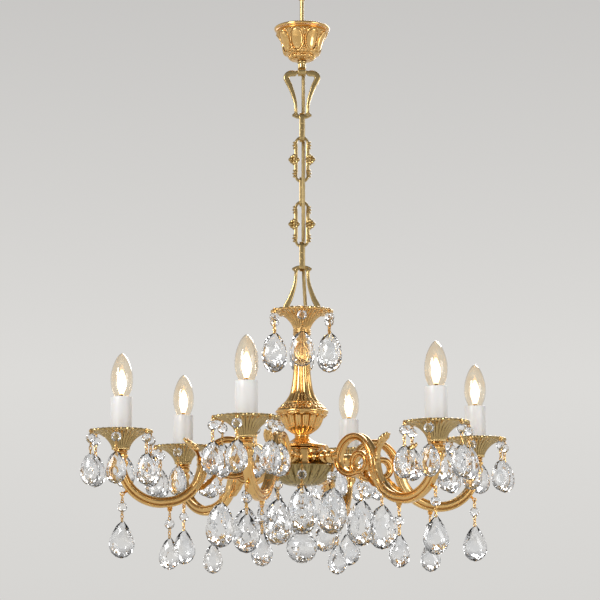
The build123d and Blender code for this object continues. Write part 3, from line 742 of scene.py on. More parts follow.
panLook = {
    "flutes": 28, "beads": 28, "rimBead": 2.3, "rimIn": 1.7, "rimDrop": 1.9, "wall": 1.6,
    "depth": 0.12, "neck": 12, "rim": 43.5,
    "profile": ((0.02, 0), (0.02, 0.1), (0.07, 0.24), (0.17, 0.42), (0.34, 0.62),
        (0.58, 0.79), (0.80, 0.89), (0.965, 0.955)),
    "turns": (4, -6, 9, 13, 2, 0)}


def panLeaves(turn, share, reach, level):
    depth = panLook["depth"] * min(1, 0.45 + 0.8 * share)
    return reach * (1 - depth * (1 - leafRib(turn, panLook["flutes"])))


def trumpetDish(neck, rim, low, high):
    look = panLook
    outer = softLine([(neck + (rim - neck) * a, low + (high - low) * b)
                      for a, b in look["profile"]], 6)
    inner = [(r - look["wall"] - 1.6, z + look["wall"]) for r, z in outer][::-1]
    dish = startPiece()
    addTo(dish, turnedShell(outer, inner, look["flutes"] * 10, panLeaves))
    bead = lambda turn: 0.34 + 0.72 * abs(math.sin(look["beads"] * turn / 2)) ** 0.8
    sway = lambda turn: -0.8 * abs(math.cos(look["flutes"] * turn / 2)) ** 3
    edge = hoop(rim - look["rimIn"], look["rimBead"], look["beads"] * 12, 8, bead, sway)
    return addTo(dish, edge, up(high - look["rimDrop"]))


dishLook = {
    "neck": 11.6, "rim": 44,
    "rings": ((11.6, 1.2, 0.4), (11.2, 1.5, -2.4), (11.6, 1.3, -5.2))}


def makeTopDish():
    dish = trumpetDish(dishLook["neck"], dishLook["rim"], dishLow.z, dishHigh.z)
    for ring in dishLook["rings"]:
        addHoop(dish, ring, dishLow.z, 72, 10)
    makePiece("topDish", dish, "castBrass", "frame", "top_dish")


columnLook = {
    "flutes": 8, "depth": 0.15, "broad": 0.34, "reedFrom": 0.39, "reed": 0.11,
    "reedRise": 0.85,
    "profile": ((12.4, 0), (11.8, 0.06), (11.6, 0.2), (11.7, 0.38), (12.1, 0.53),
        (13.3, 0.665), (15.2, 0.79), (17.6, 0.886), (20.2, 0.937),
        (23.4, 0.986), (25.4, 1.014))}


def columnFlutes(turn, share, reach, level):
    look = columnLook
    a = abs(across(turn, look["flutes"])) / 2
    rise = 0
    if a < look["broad"]:  # broad ridge
        rise = dome(a, look["broad"])
    elif a > look["reedFrom"]:  # fine reed between two ridges
        rise = look["reedRise"] * dome(0.5 - a, look["reed"])
    fade = min(1, share * 9) * min(1, (1 - share) * 14 + 0.1)
    return reach * (1 - look["depth"] * (1 - rise) * fade)


def makeColumn():
    low, high = boxOf("column")
    outline = softLine(shifted(columnLook["profile"], high.z, low.z - high.z), 6)
    form = turned(outline, 256, columnFlutes)
    makePiece("flutedColumn", form, "polishedBrass", "frame", "column")


urnLook = {
    "scales": 26, "rows": 2.4, "firstRow": 0.10, "rowHeight": 0.26, "scaleRise": 1.5,
    "upper": ((23.6, -0.4), (25.2, -1.9), (28.2, -4.8), (31.4, -7.9), (33.6, -10),
        (33.8, -11.2)),
    "lower": ((32, 4), (32, 0.4)), "belt": (34.9, 2.6, 2.2),
    "neck": (24.6, 0.9, -1.4),
    "tongues": 16, "tongueDepth": 0.15, "tongueEdge": 0.045, "headAt": 0.31,
    "headRise": 0.12,
    "cup": ((33, -0.06), (34.9, -0.02), (35.4, 0.03), (34, 0.09), (31.8, 0.16),
        (30.4, 0.24), (29.4, 0.33), (27.9, 0.44), (25.8, 0.55), (22.9, 0.655),
        (19.6, 0.74), (15.8, 0.82), (12.2, 0.885), (10, 0.935), (9.2, 0.98))}


def urnScales(turn, share, reach, level):
    look = urnLook
    row = (share - look["firstRow"]) / look["rowHeight"]  # three rows of small leaves
    if row < 0 or row >= look["rows"]:
        return reach
    t = row % 1
    a = abs(across(turn, look["scales"], 0.5 * int(row)))
    edge = math.sqrt(1 - 0.9 * t * t)
    if a > edge:
        return reach - 0.9
    return reach + look["scaleRise"] * (1 - (a / edge) ** 2) * (0.35 + 0.65 * t) - 0.4


def urnTongues(turn, share, reach, level):
    look = urnLook
    arch = dome(across(turn, look["tongues"]), 1)  # rounded heads under the bead
    past = share - look["headAt"] + look["headRise"] * arch
    rib = look["tongueDepth"] * (1 - arch) * clamp(past / 0.05) * min(1, (1 - share) * 5)
    return reach * (1 - rib + look["tongueEdge"] * math.exp(-(past / 0.025) ** 2))


def makeUrn():
    low, high = boxOf("urn_shoulder")
    look = urnLook
    outline = softLine(shifted(look["upper"], high.z) + shifted(look["lower"], low.z), 9)
    shoulder = startPiece()
    addTo(shoulder, turned(outline, 416, urnScales))
    addHoop(shoulder, look["belt"], low.z, 120, 16)
    addHoop(shoulder, look["neck"], high.z, 96, 8)
    makePiece("urnShoulder", shoulder, "polishedBrass", "frame", "urn_shoulder")
    low, high = boxOf("urn_cup")
    outline = softLine(shifted(look["cup"], high.z, low.z - high.z), 6)
    makePiece("urnCup", turned(outline, 432, urnTongues), "polishedBrass", "frame", "urn_cup")


bellLook = {
    "dome": ((9.2, 1.2), (9.1, 0.2), (10, -1.2), (12, -2.9), (15.6, -5.6), (20, -8),
        (25.2, -9.8), (30, -10.9), (33.2, -11.8)),
    "edge": ((34.6, -12.6), (35.2, -13.4), (34.6, -14.2), (33.9, -14.6), (34.4, -15.2),
        (34, -15.8)),
    "disc": ((33.6, 1.6), (33.6, 0.2), (5, 0.2), (5, 1.6)), "collar": (9.4, 1.3, 0.8),
    "leaves": 10, "leafRise": 1.2, "leafGround": 0.5}
hubLook = {
    "edge": ((23.6, -0.1), (25, -0.8), (25.2, -2.2), (24.2, -3.2)), "drum": (24, 3.4),
    "stub": ((7.2, 22), (7.4, 27), (9.2, 29), (9.2, 31.5), (7, 33.4), (6.6, 36.5),
        (8, 39), (9.4, 42.6), (8.6, 46.6), (6.8, 49.6), (7.4, 52.4), (9.3, 55.4),
        (9.3, 58.6), (7.6, 61), (7.2, 64.6))}
bowlLook = {
    "foot": 12, "spread": 35.6, "gadroons": 20, "depth": 0.12, "wall": (2.6, 1.6),
    "profile": ((0, 0.02), (0.2, 0.05), (0.42, 0.15), (0.64, 0.33), (0.82, 0.58),
        (0.94, 0.82), (0.985, 0.94)),
    "rim": (45.9, 1.5, -1.5), "post": 9, "bore": 5, "postFoot": 0.6, "postTop": 0.4}
finialLook = {
    "knob": ((6.6, 0), (7, -1), (6.2, -2.6), (4.4, -3.8), (5.6, -5.4), (5.2, -6.8),
        (3.2, -8.4)), "eyeLevel": 3.4}
eyeHoop = hoop(2.45, 0.95, 22, 10)  # the eye that a string hangs from


def bellLeaves(turn, share, reach, level):
    fade = math.sin(math.pi * clamp((share - 0.3) / 0.4))
    leaf = bellLook["leafRise"] * fade * abs(math.cos(bellLook["leaves"] * turn))
    return reach + leaf - bellLook["leafGround"] * fade


def bowlGadroons(turn, share, reach, level):
    rib = leafRib(turn, bowlLook["gadroons"])
    return reach * (1 - bowlLook["depth"] * (1 - rib) * min(1, share * 3))


def makeHub():
    low, high = boxOf("hub_bell")
    outline = softLine(shifted(bellLook["dome"], high.z), 6)
    outline += softLine(shifted(bellLook["edge"], high.z), 4)
    bell = startPiece()
    addTo(bell, turned(outline, 240, bellLeaves))
    addHoop(bell, bellLook["collar"], high.z, 72, 10)
    addTo(bell, turnedShell(shifted(bellLook["disc"], low.z), (), 120))
    makePiece("hubBell", bell, "polishedBrass", "frame", "hub_bell")

    low, high = boxOf("hub")
    radius, margin = hubLook["drum"]
    drum = softLine(shifted(hubLook["edge"], high.z), 4)
    drum += softLine(((radius, high.z - margin), (radius, low.z + margin)), 8)
    drum += softLine(shifted(hubLook["edge"], low.z, -1)[::-1], 4)
    hub = startPiece()
    addTo(hub, turned(drum, 144))
    stub = turned(softLine(hubLook["stub"], 4), 36)
    for candle in candles:
        addTo(hub, stub, spin(candle["angle"]) @ up(armLevel + armLook["boss"]) @ spin(90, "Y"))
    makePiece("armHub", hub, "polishedBrass", "frame", "hub")

    look, span = bowlLook, bowlHigh.z - bowlLow.z
    outer = softLine([(look["foot"] + look["spread"] * a, bowlLow.z + span * b)
                      for a, b in look["profile"]], 6)
    inner = [(r - look["wall"][0], z + look["wall"][1]) for r, z in outer][::-1]
    bowl = startPiece()
    addTo(bowl, turnedShell(outer, inner, 280, bowlGadroons))
    addHoop(bowl, look["rim"], bowlHigh.z, 288, 8, beaded(0.75, 0.3, 24))
    foot, top = bowlLow.z + look["postFoot"], bowlHigh.z - look["postTop"]
    post = ((look["post"], foot), (look["post"], top), (look["bore"], top), (look["bore"], foot))
    addTo(bowl, turnedShell(post, (), 48))
    # the bowl's darker brass is partly painted shade
    makePiece("hubBowl", bowl, "agedBrassPaintedShade", "frame", "hub_bowl")

    low, high = boxOf("bowl_finial")
    finial = startPiece()
    addTo(finial, turned(softLine(shifted(finialLook["knob"], high.z), 5), 48))
    addTo(finial, eyeHoop, up(low.z + finialLook["eyeLevel"]) @ spin(90, "X"))
    makePiece("bowlFinial", finial, "polishedBrass", "frame", "bowl_finial")


makeTopDish()
makeColumn()
makeUrn()
makeHub()
print("body ready")


# scroll arms, drawn in their own plane: out from the axis, and height above the lowest bend

armSide = (0, -1, 0)
limbPoints = (
    (207, 0.44), (200, 0), (182, 2.3), (168, 8.2), (157, 17.2), (149, 27.8), (144, 39.4),
    (141, 51), (137, 63), (130, 75), (121, 84), (109, 88.5), (95, 87), (83, 79), (76, 67),
    (74.4, 57), (77, 49), (83.5, 42.8), (93, 38.8), (103, 38.2), (111, 39.6))
eyeRing = (115.6, 52.4, 12.3)  # out, rise and radius
hangAt = {"outer": (253, 11), "inner": (116, 34.1), "middle": (187, -9)}


def armLine():
    bend = armLook["outerBend"]
    line = [Vector((candleRadius, 0, z)) for z in (armLook["top"], 62, 59)]
    line += arc(candleRadius - bend, bend, bend, 0, -90, 30)[:-1]
    first = len(line)
    ring = arc(*eyeRing, -80, 345, 15)
    line += softLine([(out, 0, rise) for out, rise in limbPoints] + ring, 6)[6:]
    knots = ((0, 0.92, 0.88), (first, 1, 1), (first + 18, 1, 1), (first + 42, 0.97, 0.80),
             (first + 54, 0.96, 0.68), (first + 84, 0.94, 0.62), (len(line) - 1, 0.90, 0.60))
    scales = []
    for i in range(len(line)):
        for (start, wideA, highA), (end, wideB, highB) in zip(knots, knots[1:]):
            if start <= i <= end:
                t = (i - start) / (end - start)
                scales.append((wideA + (wideB - wideA) * t, highA + (highB - highA) * t))
                break
    return line, scales, first


# leaves cast in the arm's plane: points are out, rise and half width
leafLook = {
    "curl": {"thick": 6, "lobes": 9, "points": (
            (142, 38, 3), (143, 46, 6.4), (144.5, 54, 5.8), (146.5, 61.5, 3.8), (148.6, 67.5, 2.6),
            (151.4, 73, 3.4), (155.4, 78.6, 4.4), (160, 83.4, 4), (164.4, 86.4, 2.8),
            (167.4, 86.6, 1.6))},
    "spur": {"thick": 4.6, "lobes": 4, "points": (
            (151, 19, 3.6), (143.5, 21.5, 4.2), (136, 26.5, 3.8), (129.4, 33, 3.4),
            (124.4, 38.2, 3), (119.5, 40.6, 1.6))},
    "outerEye": {"thick": 3.6, "lobes": 2, "points": (
            (242.5, 19, 3.4), (246.5, 16, 3), (250.6, 12.8, 1.8))},
    "middleEye": {"thick": 3.8, "lobes": 2, "points": (
            (187, -5, 4.6), (187, -7.6, 4), (187, -10.4, 1.6))}}
leafVeins = (
    (0, -1), (0.5, -0.97), (0.8, -0.8), (0.56, -0.56), (0.92, -0.3), (0.62, 0),
    (0.92, 0.3), (0.56, 0.56), (0.8, 0.8), (0.5, 0.97), (0, 1))


def castLeaf(piece, name):
    look = leafLook[name]
    line = softLine([(out, 0, rise) for out, rise, half in look["points"]], 8)
    spread = softLine([(half, 0) for out, rise, half in look["points"]], 8)
    section = [(x * look["thick"], y) for x, y in leafVeins]  # veined on both faces
    section += [(-x, y) for x, y in section[1:-1]][::-1]
    scales = []
    for i in range(len(line)):
        notch = 1 - 0.26 * abs(math.sin(math.pi * look["lobes"] * i / len(line)))
        scales.append((1 - 0.3 * i / len(line), spread[i][0] * notch))
    addTo(piece, planeSweep(line, section, armSide, scales))


sheathLook = {
    "from": 20, "to": 42, "points": 44, "wide": 7, "high": 7.4, "ripples": 11,
    "ripple": 0.05, "square": 0.6}
budLook = ((152, 75.4, 4.6), (156, 80, 5.8), (161, 83.2, 5.4), (165.8, 86.9, 3.6))


def leafForm(line, scales, first):
    # the leaf that wraps the limb and curls off at the turn of the scroll, and a spur
    look = sheathLook
    start, end = first + look["from"], first + look["to"]
    square = lambda value: math.copysign(abs(value) ** look["square"], value)
    section = []
    for k in range(look["points"]):
        a = fullCircle * k / look["points"]
        ripple = 1 + look["ripple"] * math.cos(look["ripples"] * a)
        section.append((look["wide"] * ripple * square(math.cos(a)),
                        look["high"] * ripple * square(math.sin(a))))
    widths = []
    for i in range(start, end + 1):
        t = (i - start) / (end - start)
        swell = (0.84 + 0.28 * math.sin(math.pi * min(1, t / 1.3))
                 + 0.03 * abs(math.sin(4 * math.pi * t)))
        widths.append((scales[i][0] * swell, scales[i][1] * (swell - max(t - 0.8, 0) * 0.9)))
    leaf = startPiece()
    addTo(leaf, planeSweep(line[start:end + 1], section, armSide, widths))
    castLeaf(leaf, "curl")
    for out, rise, size in budLook:
        for turn in (-1, 1):
            addTo(leaf, pebble((0.62 * size, 0.8 * size, 1.25 * size), 7, 12),
                  lift(out, 0.42 * turn * size, rise) @ spin(44 + 24 * turn, "Y"))
    castLeaf(leaf, "spur")
    return leaf


knobProfile = (
    (6.2, 45), (8.4, 48.5), (10, 52.5), (9.6, 56), (7.6, 58.4), (9, 60.6),
    (10, 63.2), (8.6, 66.2))
stubProfiles = {
    "middle": ((4.6, -2.8), (4.2, -4.6), (2.6, -6.4), (1.3, -7.2)),
    "inner": ((4.4, 41.5), (4, 39.5), (2.6, 37.4), (1.3, 36.4))}
padProfile = ((6.9, 63), (7.4, 66), (8, 68.4), (7, 75))
armMoulding = (
    (0, -5.2), (1.6, -5.3), (2.8, -5.9), (3.7, -6.8), (4.8, -7.1), (5.8, -7),
    (6.3, -6.5), (6.3, -5.8), (5.6, -5.2), (5, -4.9), (5, -4.4), (5.7, -3.9),
    (6.4, -2.9), (6.6, -1.4), (6.4, 0.2), (5.8, 1.4), (4.9, 2.1), (4.2, 2.4),
    (4.1, 3), (4.7, 3.5), (5.2, 4.4), (5.1, 5.6), (4.2, 6.6), (2.6, 7))
armCrown = (0, 7.1)


def knobLobes(turn, share, reach, level):
    upper = 1 if share > 0.56 else 0
    lobe = abs(math.cos(4 * turn + 1.57 * upper))
    return reach * (0.84 + 0.16 * lobe ** 0.7 + 0.035 * math.cos(24 * turn))


def armForm(line, scales):
    left = [(-x, y) for x, y in armMoulding[1:]][::-1]
    arm = startPiece()
    addTo(arm, planeSweep(line, [*armMoulding, armCrown, *left], armSide, scales))
    addTo(arm, turned(softLine(knobProfile, 6), 144, knobLobes), lift(candleRadius, 0, 0))
    castLeaf(arm, "outerEye")
    castLeaf(arm, "middleEye")
    for out, rise in hangAt.values():  # eyes that carry the strings
        addTo(arm, eyeHoop, lift(out, 0, rise) @ spin(90, "X"))
    for kind, profile in stubProfiles.items():
        addTo(arm, turned(softLine(profile, 4), 24), lift(hangAt[kind][0], 0, 0))
    pad = turned(softLine(padProfile, 4), 36)
    return addTo(arm, pad, up(armLook["boss"]) @ spin(90, "Y"))


def makeArms():
    line, scales, first = armLine()
    arm, leaf = armForm(line, scales), leafForm(line, scales, first)
    for number, candle in enumerate(candles, 1):
        place = spin(candle["angle"]) @ up(armLevel)
        name = str(number)
        makePiece("armLeaf" + name, addTo(startPiece(), leaf, place), "castBrass", "frame")
        makePiece("scrollArm" + name, addTo(startPiece(), arm, place), "polishedBrass", "frame",
                  "scroll_arm_" + name)


makeArms()
print("arms ready")


# candle units: pan, collar, sleeve and lamp

lampLook = {
    "glass": ((6.6, -6), (8.4, -2), (11.4, 4), (14, 11), (15.4, 18.5), (15.6, 26),
        (14.9, 33), (13.3, 40), (11.3, 46), (8.9, 51.4), (6.2, 55.8)),
    "tip": ((3.6, -2.2), (1.7, -0.8), (0.5, -0.2)), "wall": (0.7, 0.5), "least": 0.15,
    "filament": ((1.6, 2), (3.6, 7), (5.6, 14), (6.2, 21), (5, 28), (3, 34),
        (1.2, 38)),
    "contact": ((2.4, 0), (5.4, 1.5)), "neck": ((6.5, -6.5), (6, -3.5), (2.2, 4)),
    "threads": 14, "threadFrom": 5, "pitch": 1.25, "crest": 6.9, "root": 6.3}


def makeLamp(number, candle, place):
    look, top = lampLook, sleeveHigh.z
    body = "bulb_" + str(number)
    profile = shifted(look["glass"], top) + shifted(look["tip"], candle["tip"])
    outer = softLine(profile, 5)
    inner = [(max(r - look["wall"][0], look["least"]), z - look["wall"][1]) for r, z in outer][::-1]
    filament = softLine(shifted(look["filament"], top), 5)
    thread = [(look["crest"] if k % 2 else look["root"],
               candle["base"] + look["threadFrom"] + look["pitch"] * k)
              for k in range(look["threads"])]
    cap = shifted(look["contact"], candle["base"]) + thread + shifted(look["neck"], top)
    for name, form, finish, nodes in (
            ("lampGlass", turnedShell(outer, inner, 48), "bulbGlass", [body]),
            ("lampFilament", turned(filament, 28), "glow", []),
            ("lampCap", turned(cap, 40), "castBrass", [])):
        makePiece(name + str(number), addTo(startPiece(), form, place), finish, body, *nodes)


collarProfile = ((7.4, 0), (9.2, 0.5), (9.9, 1.7), (8.4, 2.7), (9.9, 3.7), (9.4, 4.9), (9, 5.4))
sleeveLook = {
    "foot": ((15, 0), (15, 3)), "bore": ((13.6, 0),),
    "top": ((14.9, -12), (14.9, -1), (14.6, -0.2), (14.2, 0), (13.8, -0.2),
        (13.6, -1))}


def makeCandles():
    pan = trumpetDish(panLook["neck"], panLook["rim"], panLow.z, panHigh.z)
    collar = turned(softLine(shifted(collarProfile, armLevel + armLook["top"]), 4), 48)
    tube = (shifted(sleeveLook["foot"], sleeveLow.z) + shifted(sleeveLook["top"], sleeveHigh.z)
            + shifted(sleeveLook["bore"], sleeveLow.z))
    sleeve = turnedShell(tube, (), 72)
    collars, sleeves = startPiece(), startPiece()
    for number, candle in enumerate(candles, 1):
        place = spin(candle["angle"]) @ lift(candleRadius, 0, 0)
        placedPan = addTo(startPiece(), pan, place @ spin(panLook["turns"][number - 1]))
        makePiece("candlePan" + str(number), placedPan, "antiqueBrass", "frame",
                  "candle_pan_" + str(number))
        addTo(collars, collar, place)
        addTo(sleeves, sleeve, place)
        makeLamp(number, candle, place)
    makePiece("panCollars", collars, "polishedBrass", "frame", "pan_collars")
    makePiece("candleSleeves", sleeves, "sleeve", "frame", "candle_sleeves")


makeCandles()
print("candles ready")


# crystal strings: a bead and a drop on pinned wire

stringLook = {
    "outer": {"drop": (36, 52, "pear"), "beadAt": 17.4, "dropAt": 35.4, "hook": "eye"},
    "inner": {"drop": (41, 64, "egg"), "beadAt": 14, "dropAt": 31, "hook": "eye"},
    "middle": {"drop": (29.5, 45.5, "pear"), "beadAt": 20, "dropAt": 37, "hook": "eye"},
    "pan": {"drop": (29, 45, "egg"), "beadAt": 12, "dropAt": 31, "hook": "rim"},
    "dish": {"drop": (36, 52, "egg"), "beadAt": 12, "dropAt": 33, "hook": "rim"},
    "bowl": {"drop": (41, 64, "egg"), "beadAt": 15, "dropAt": 30, "hook": "rim"}}
# a ring through the arm's eye or through the rim, and the wire from it to the bead
hookLook = {
    "eye": {"ring": (2.5, 0.6, 22, 8), "place": up(-2.5) @ spin(90, "Y"),
        "wireTop": -4.2, "wireFoot": 5.2},
    "rim": {"ring": (2.3, 0.55, 20, 8), "place": lift(-1, 0, -1.4) @ spin(90, "X"),
        "wireTop": -2.4, "wireFoot": 5.6}}
wireLook = {"wire": 0.72, "loop": 1.9, "pitch": 5, "underBead": 5.6, "intoDrop": 2.6}
hangRadius = {"pan": 44.3, "dish": 44.8, "bowl": 48.4}
twist = 14
beadRows = ((7, 0.5, 0), (5, 2.5, 0.5), (3, 3.5, 0))  # size, depth and shift in steps
dropRows = ((0.80, 0.50, 0.5), (0.53, 0.84, 0), (0.27, 1, 0.5))
beadFacets = 10
dropLook = {"facets": 16, "flatness": 0.42, "middle": -0.62, "girdle": 0.5}
dropOutline = {
    "pear": ((0.09, 0), (0.26, 0.07), (0.44, 0.16), (0.60, 0.24), (0.73, 0.32), (0.85, 0.42),
        (0.94, 0.51), (1, 0.61), (0.97, 0.70), (0.88, 0.79), (0.72, 0.87), (0.46, 0.95),
        (0.2, 0.99), (0, 1)),
    "egg": ((0.10, 0), (0.31, 0.06), (0.52, 0.14), (0.69, 0.22), (0.82, 0.31), (0.91, 0.41),
        (0.97, 0.51), (1, 0.60), (0.98, 0.69), (0.90, 0.78), (0.75, 0.87), (0.49, 0.95),
        (0.22, 0.99), (0, 1))}


def faceTurn(count):
    return -90 + twist * math.sin(2.4 * count)


def facetRow(a, b, lead):
    # two rings that sit half a step apart
    faces = []
    for k in range(len(a)):
        n = (k + 1) % len(a)
        if lead:
            faces += [(a[k], a[n], b[n]), (a[k], b[n], b[k])]
        else:
            faces += [(a[k], a[n], b[k]), (a[n], b[n], b[k])]
    return faces


def cutStone(rows, count, spot):
    # from the girdle to the flat table, the same on both faces
    verts, faces, girdles = [], [], []
    for face in (1, -1):
        rings = []
        for size, depth, shift in rows:
            rings.append(range(len(verts), len(verts) + count))
            verts += [(face * depth, *spot(size, (k + shift) / count)) for k in range(count)]
        for a, b, row in zip(rings, rings[1:], rows):
            faces += facetRow(a, b, row[2])
        faces.append(tuple(rings[-1]))
        girdles.append(rings[0])
    a, b = girdles
    for k in range(count):
        n = (k + 1) % count
        faces.append((a[k], a[n], b[n], b[k]))
    return verts, faces


def dropCrystal(width, height, outline):
    half = softLine(dropOutline[outline], 8)
    runs = [0]
    for a, b in zip(half, half[1:]):
        runs.append(runs[-1] + math.hypot((b[0] - a[0]) * width / 2, (b[1] - a[1]) * height))
    thick = dropLook["flatness"] * width / 2
    middle = dropLook["middle"] * height

    def spot(scale, share):
        # share runs once round the outline from the tip
        share %= 1
        side = 1 if share <= 0.5 else -1
        run = (share * 2 if side > 0 else 2 - share * 2) * runs[-1]
        i = min(max(k for k, r in enumerate(runs) if r <= run + 1e-9), len(half) - 2)
        t = (run - runs[i]) / max(runs[i + 1] - runs[i], 1e-9)
        p = half[i] + (half[i + 1] - half[i]) * t
        return side * p[0] * width / 2 * scale, middle + (-p[1] * height - middle) * scale

    rows = [(1, dropLook["girdle"], 0)]
    rows += [(scale, depth * thick, shift) for scale, depth, shift in dropRows]
    return cutStone(rows, dropLook["facets"], spot)


def beadSpot(size, share):
    return size * math.cos(fullCircle * share), size * math.sin(fullCircle * share)


beadStone = cutStone(beadRows, beadFacets, beadSpot)
dropStones = {kind: dropCrystal(*look["drop"]) for kind, look in stringLook.items()}


def pinWire(piece, high, low, place):
    # small oval links, each turned from the last
    loop = wireLook["loop"]
    count = max(1, round((high - low) / wireLook["pitch"]))
    step = (high - low) / count
    oval = Matrix.Diagonal((1, (0.5 * step + 0.2) / loop, 1, 1))
    for k in range(count):
        spot = place @ up(high - step * (k + 0.5)) @ spin(40 + 90 * k) @ spin(90, "X")
        addTo(piece, hoop(loop, wireLook["wire"], 20, 8), spot @ oval)


def makeString(kind, ending, hangers, body, node):
    crystals, wires = startPiece(), startPiece()
    look = stringLook[kind]
    hook = hookLook[look["hook"]]
    bottom = -look["dropAt"] - wireLook["intoDrop"]
    for place, turn in hangers:
        face = place @ spin(turn)
        addTo(crystals, beadStone, face @ up(-look["beadAt"]))
        addTo(crystals, dropStones[kind], face @ up(-look["dropAt"]))
        addTo(wires, hoop(*hook["ring"]), place @ hook["place"])
        pinWire(wires, hook["wireTop"], -look["beadAt"] + hook["wireFoot"], face)
        pinWire(wires, -look["beadAt"] - wireLook["underBead"], bottom, face)
    makePiece(kind + "Crystal" + ending, crystals, "crystal", body, node)
    makePiece(kind + "Pin" + ending, wires, "polishedBrass", body)


def armHanger(kind, number):
    out, rise = hangAt[kind]
    angle = candles[number - 1]["angle"]
    return spin(angle) @ lift(out, 0, armLevel + rise), faceTurn(number) - angle


def makeStrings():
    numbers = range(1, armCount + 1)
    for kind in ("outer", "inner"):
        for number in numbers:
            body = kind + "_string_" + str(number)
            makeString(kind, str(number), [armHanger(kind, number)], body, body)
    middles = [armHanger("middle", number) for number in numbers]
    makeString("middle", "s", middles, "frame", "middle_strings")

    hangers = []
    for number, candle in enumerate(candles, 1):
        spot = spin(candle["angle"]) @ lift(candleRadius, 0, panHigh.z - 1)
        for count, other in enumerate(candles):
            side = other["angle"] + panLook["turns"][number - 1]
            place = spot @ spin(side - candle["angle"]) @ lift(hangRadius["pan"], 0, 0)
            hangers.append((place, faceTurn(number + count) - side))
    makeString("pan", "s", hangers, "frame", "pan_strings")

    for kind, level in (("dish", dishHigh.z - 1), ("bowl", bowlHigh.z - 1)):
        hangers = []
        for count in range(armCount):
            angle = 30 + 60 * count  # between the arms
            place = spin(angle) @ lift(hangRadius[kind], 0, level)
            hangers.append((place, faceTurn(count) - angle))
        makeString(kind, "s", hangers, "frame", kind + "_strings")


ballLook = {
    "radius": 21.8, "rows": 9, "cols": 16, "pivot": 74, "beadAt": 26, "beadTurn": -80,
    "wires": ((-4.4, -20.4), (-31.6, -53.8))}


def makeBall():
    look, radius, rows, cols = ballLook, ballLook["radius"], ballLook["rows"], ballLook["cols"]
    centre = boxOf("ball_string")[0].z + radius
    pivot = centre + look["pivot"]
    verts, faces = [], []
    for i in range(rows):
        tilt = math.pi * (i + 1) / (rows + 1)
        for k in range(cols):
            turn = fullCircle * (k + 0.5 * (i % 2)) / cols
            verts.append((radius * math.sin(tilt) * math.cos(turn),
                          radius * math.sin(tilt) * math.sin(turn),
                          centre + radius * math.cos(tilt)))
    verts += [(0, 0, centre + radius), (0, 0, centre - radius)]
    rings = [range(i * cols, (i + 1) * cols) for i in range(rows)]
    for i in range(rows - 1):
        faces += facetRow(rings[i], rings[i + 1], i % 2)
    for k in range(cols):
        n = (k + 1) % cols
        faces += [(k, n, rows * cols), (rings[-1][k], rings[-1][n], rows * cols + 1)]
    crystals, wires = startPiece(), startPiece()
    addTo(crystals, (verts, faces))
    addTo(crystals, beadStone, up(pivot - look["beadAt"]) @ spin(look["beadTurn"]))
    makePiece("ballCrystal", crystals, "crystal", "ball_string", "ball_string")
    hook = hookLook["eye"]
    addTo(wires, hoop(*hook["ring"]), up(pivot) @ hook["place"])
    for high, low in look["wires"]:
        pinWire(wires, pivot + high, pivot + low, here)
    makePiece("ballPin", wires, "polishedBrass", "ball_string")


makeStrings()
makeBall()
print("strings ready")


# solids that keep their own shape take a finish

keptNodes = {
    "ceiling_plate": "polishedBrass", "ceiling_hook": "steelFinish",
    "body_loop": "antiqueBrass", "tie_rod": "steelFinish", "lampholders": "holder"}
for node, finish in keptNodes.items():
    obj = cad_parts[node]
    obj.data.materials.clear()
    obj.data.materials.append(finishes[finish])


# floor, light and camera

studioLook = {
    "floorLevel": -1.28, "floorHalf": 20, "floorClouds": (3, 3), "floorRough": 0.7,
    "floor": ((0.3, (0.80, 0.79, 0.77)), (0.7, (0.83, 0.82, 0.80))),
    "farFloor": (0, 0.42, 1.6, 5), "farTone": (1, 0.99, 0.97, 1),
    "lamps": (("keyLamp", (-1.9, -2, 0.5), 1.3, 46), ("fillLamp", (2.3, -1.6, -0.2), 1.6, 22),
        ("backLamp", (0.6, 2.2, 0.7), 1.4, 26)), "aim": (0, 0, -0.55),
    "room": ((0, (0.30, 0.29, 0.28)), (0.42, (0.60, 0.59, 0.57)), (0.56, (0.72, 0.71, 0.69)),
        (0.70, (0.50, 0.49, 0.48)), (1, (0.16, 0.16, 0.16))),
    "dimRoom": (0.62, 1, -0.4, 0.2)}


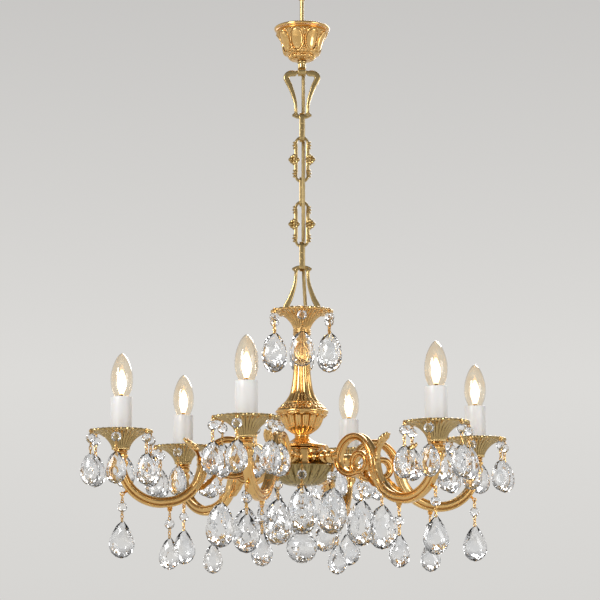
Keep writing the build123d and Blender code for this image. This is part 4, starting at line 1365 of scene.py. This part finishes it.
def makeFloor():
    mat, tree, shader = newFinish("paleFloor")
    reach = tree.nodes.new("ShaderNodeVectorMath")
    reach.operation = "LENGTH"
    setInputs(tree, reach, {0: spotOf(tree)})
    # far from the lamps the floor stays as pale as the wall behind it
    pale = ranged(tree, reach.outputs["Value"], *studioLook["farFloor"])
    rays = addNode(tree, "LightPath", {}).outputs
    seen = joined(tree, "MAXIMUM", rays["Is Camera Ray"], rays["Is Glossy Ray"])
    seen = joined(tree, "MAXIMUM", seen, rays["Is Transmission Ray"])
    setInputs(tree, shader, {
        "Base Color": ramp(tree, clouds(tree, *studioLook["floorClouds"]), studioLook["floor"]),
        "Roughness": studioLook["floorRough"], "Emission Color": studioLook["farTone"],
        "Emission Strength": joined(tree, "MULTIPLY", seen, pale)})
    mesh = bpy.data.meshes.new("studioFloor")
    size, level = studioLook["floorHalf"], studioLook["floorLevel"]
    corners = [(x * size, y * size, level) for x, y in ((-1, -1), (1, -1), (1, 1), (-1, 1))]
    mesh.from_pydata(corners, [], [(0, 1, 2, 3)])
    mesh.materials.append(mat)
    floor = bpy.data.objects.new("studioFloor", mesh)
    scene.collection.objects.link(floor)


def makeLight():
    for name, place, size, power in studioLook["lamps"]:
        data = bpy.data.lights.new(name, "AREA")
        data.shape = "DISK"
        data.size = size
        data.energy = power
        lamp = bpy.data.objects.new(name, data)
        lamp.location = place
        aim = Vector(studioLook["aim"]) - Vector(place)
        lamp.rotation_euler = aim.to_track_quat("-Z", "Y").to_euler()
        scene.collection.objects.link(lamp)
    world = bpy.data.worlds.new("studioWorld")
    world.use_nodes = True
    scene.world = world
    tree = world.node_tree
    parts = axesOf(tree)
    tones = ramp(tree, ranged(tree, parts["Z"], 0, 1, -1, 1), studioLook["room"])
    dim = ranged(tree, parts["Y"], *studioLook["dimRoom"])  # dimmer behind the camera
    setInputs(tree, tree.nodes["Background"], {"Color": multiplied(tree, 1, tones, dim),
                                               "Strength": 1})


cameraLook = {
    "sensor": 36, "lens": 125.67, "far": 100, "side": -0.0027, "away": -2.932,
    "belowSleeves": 0.3241, "tilt": 0.158645}


def makeCamera():
    look = cameraLook
    data = bpy.data.cameras.new("photoCamera")
    data.sensor_width = look["sensor"]
    data.lens = look["lens"]
    data.clip_end = look["far"]
    camera = bpy.data.objects.new("photoCamera", data)
    camera.location = (look["side"], look["away"], sleeveHigh.z * mm - look["belowSleeves"])
    camera.rotation_euler = (math.pi / 2 + look["tilt"], 0, 0)
    scene.collection.objects.link(camera)
    scene.camera = camera


makeFloor()
makeLight()
makeCamera()
scene.view_settings.view_transform = "Standard"
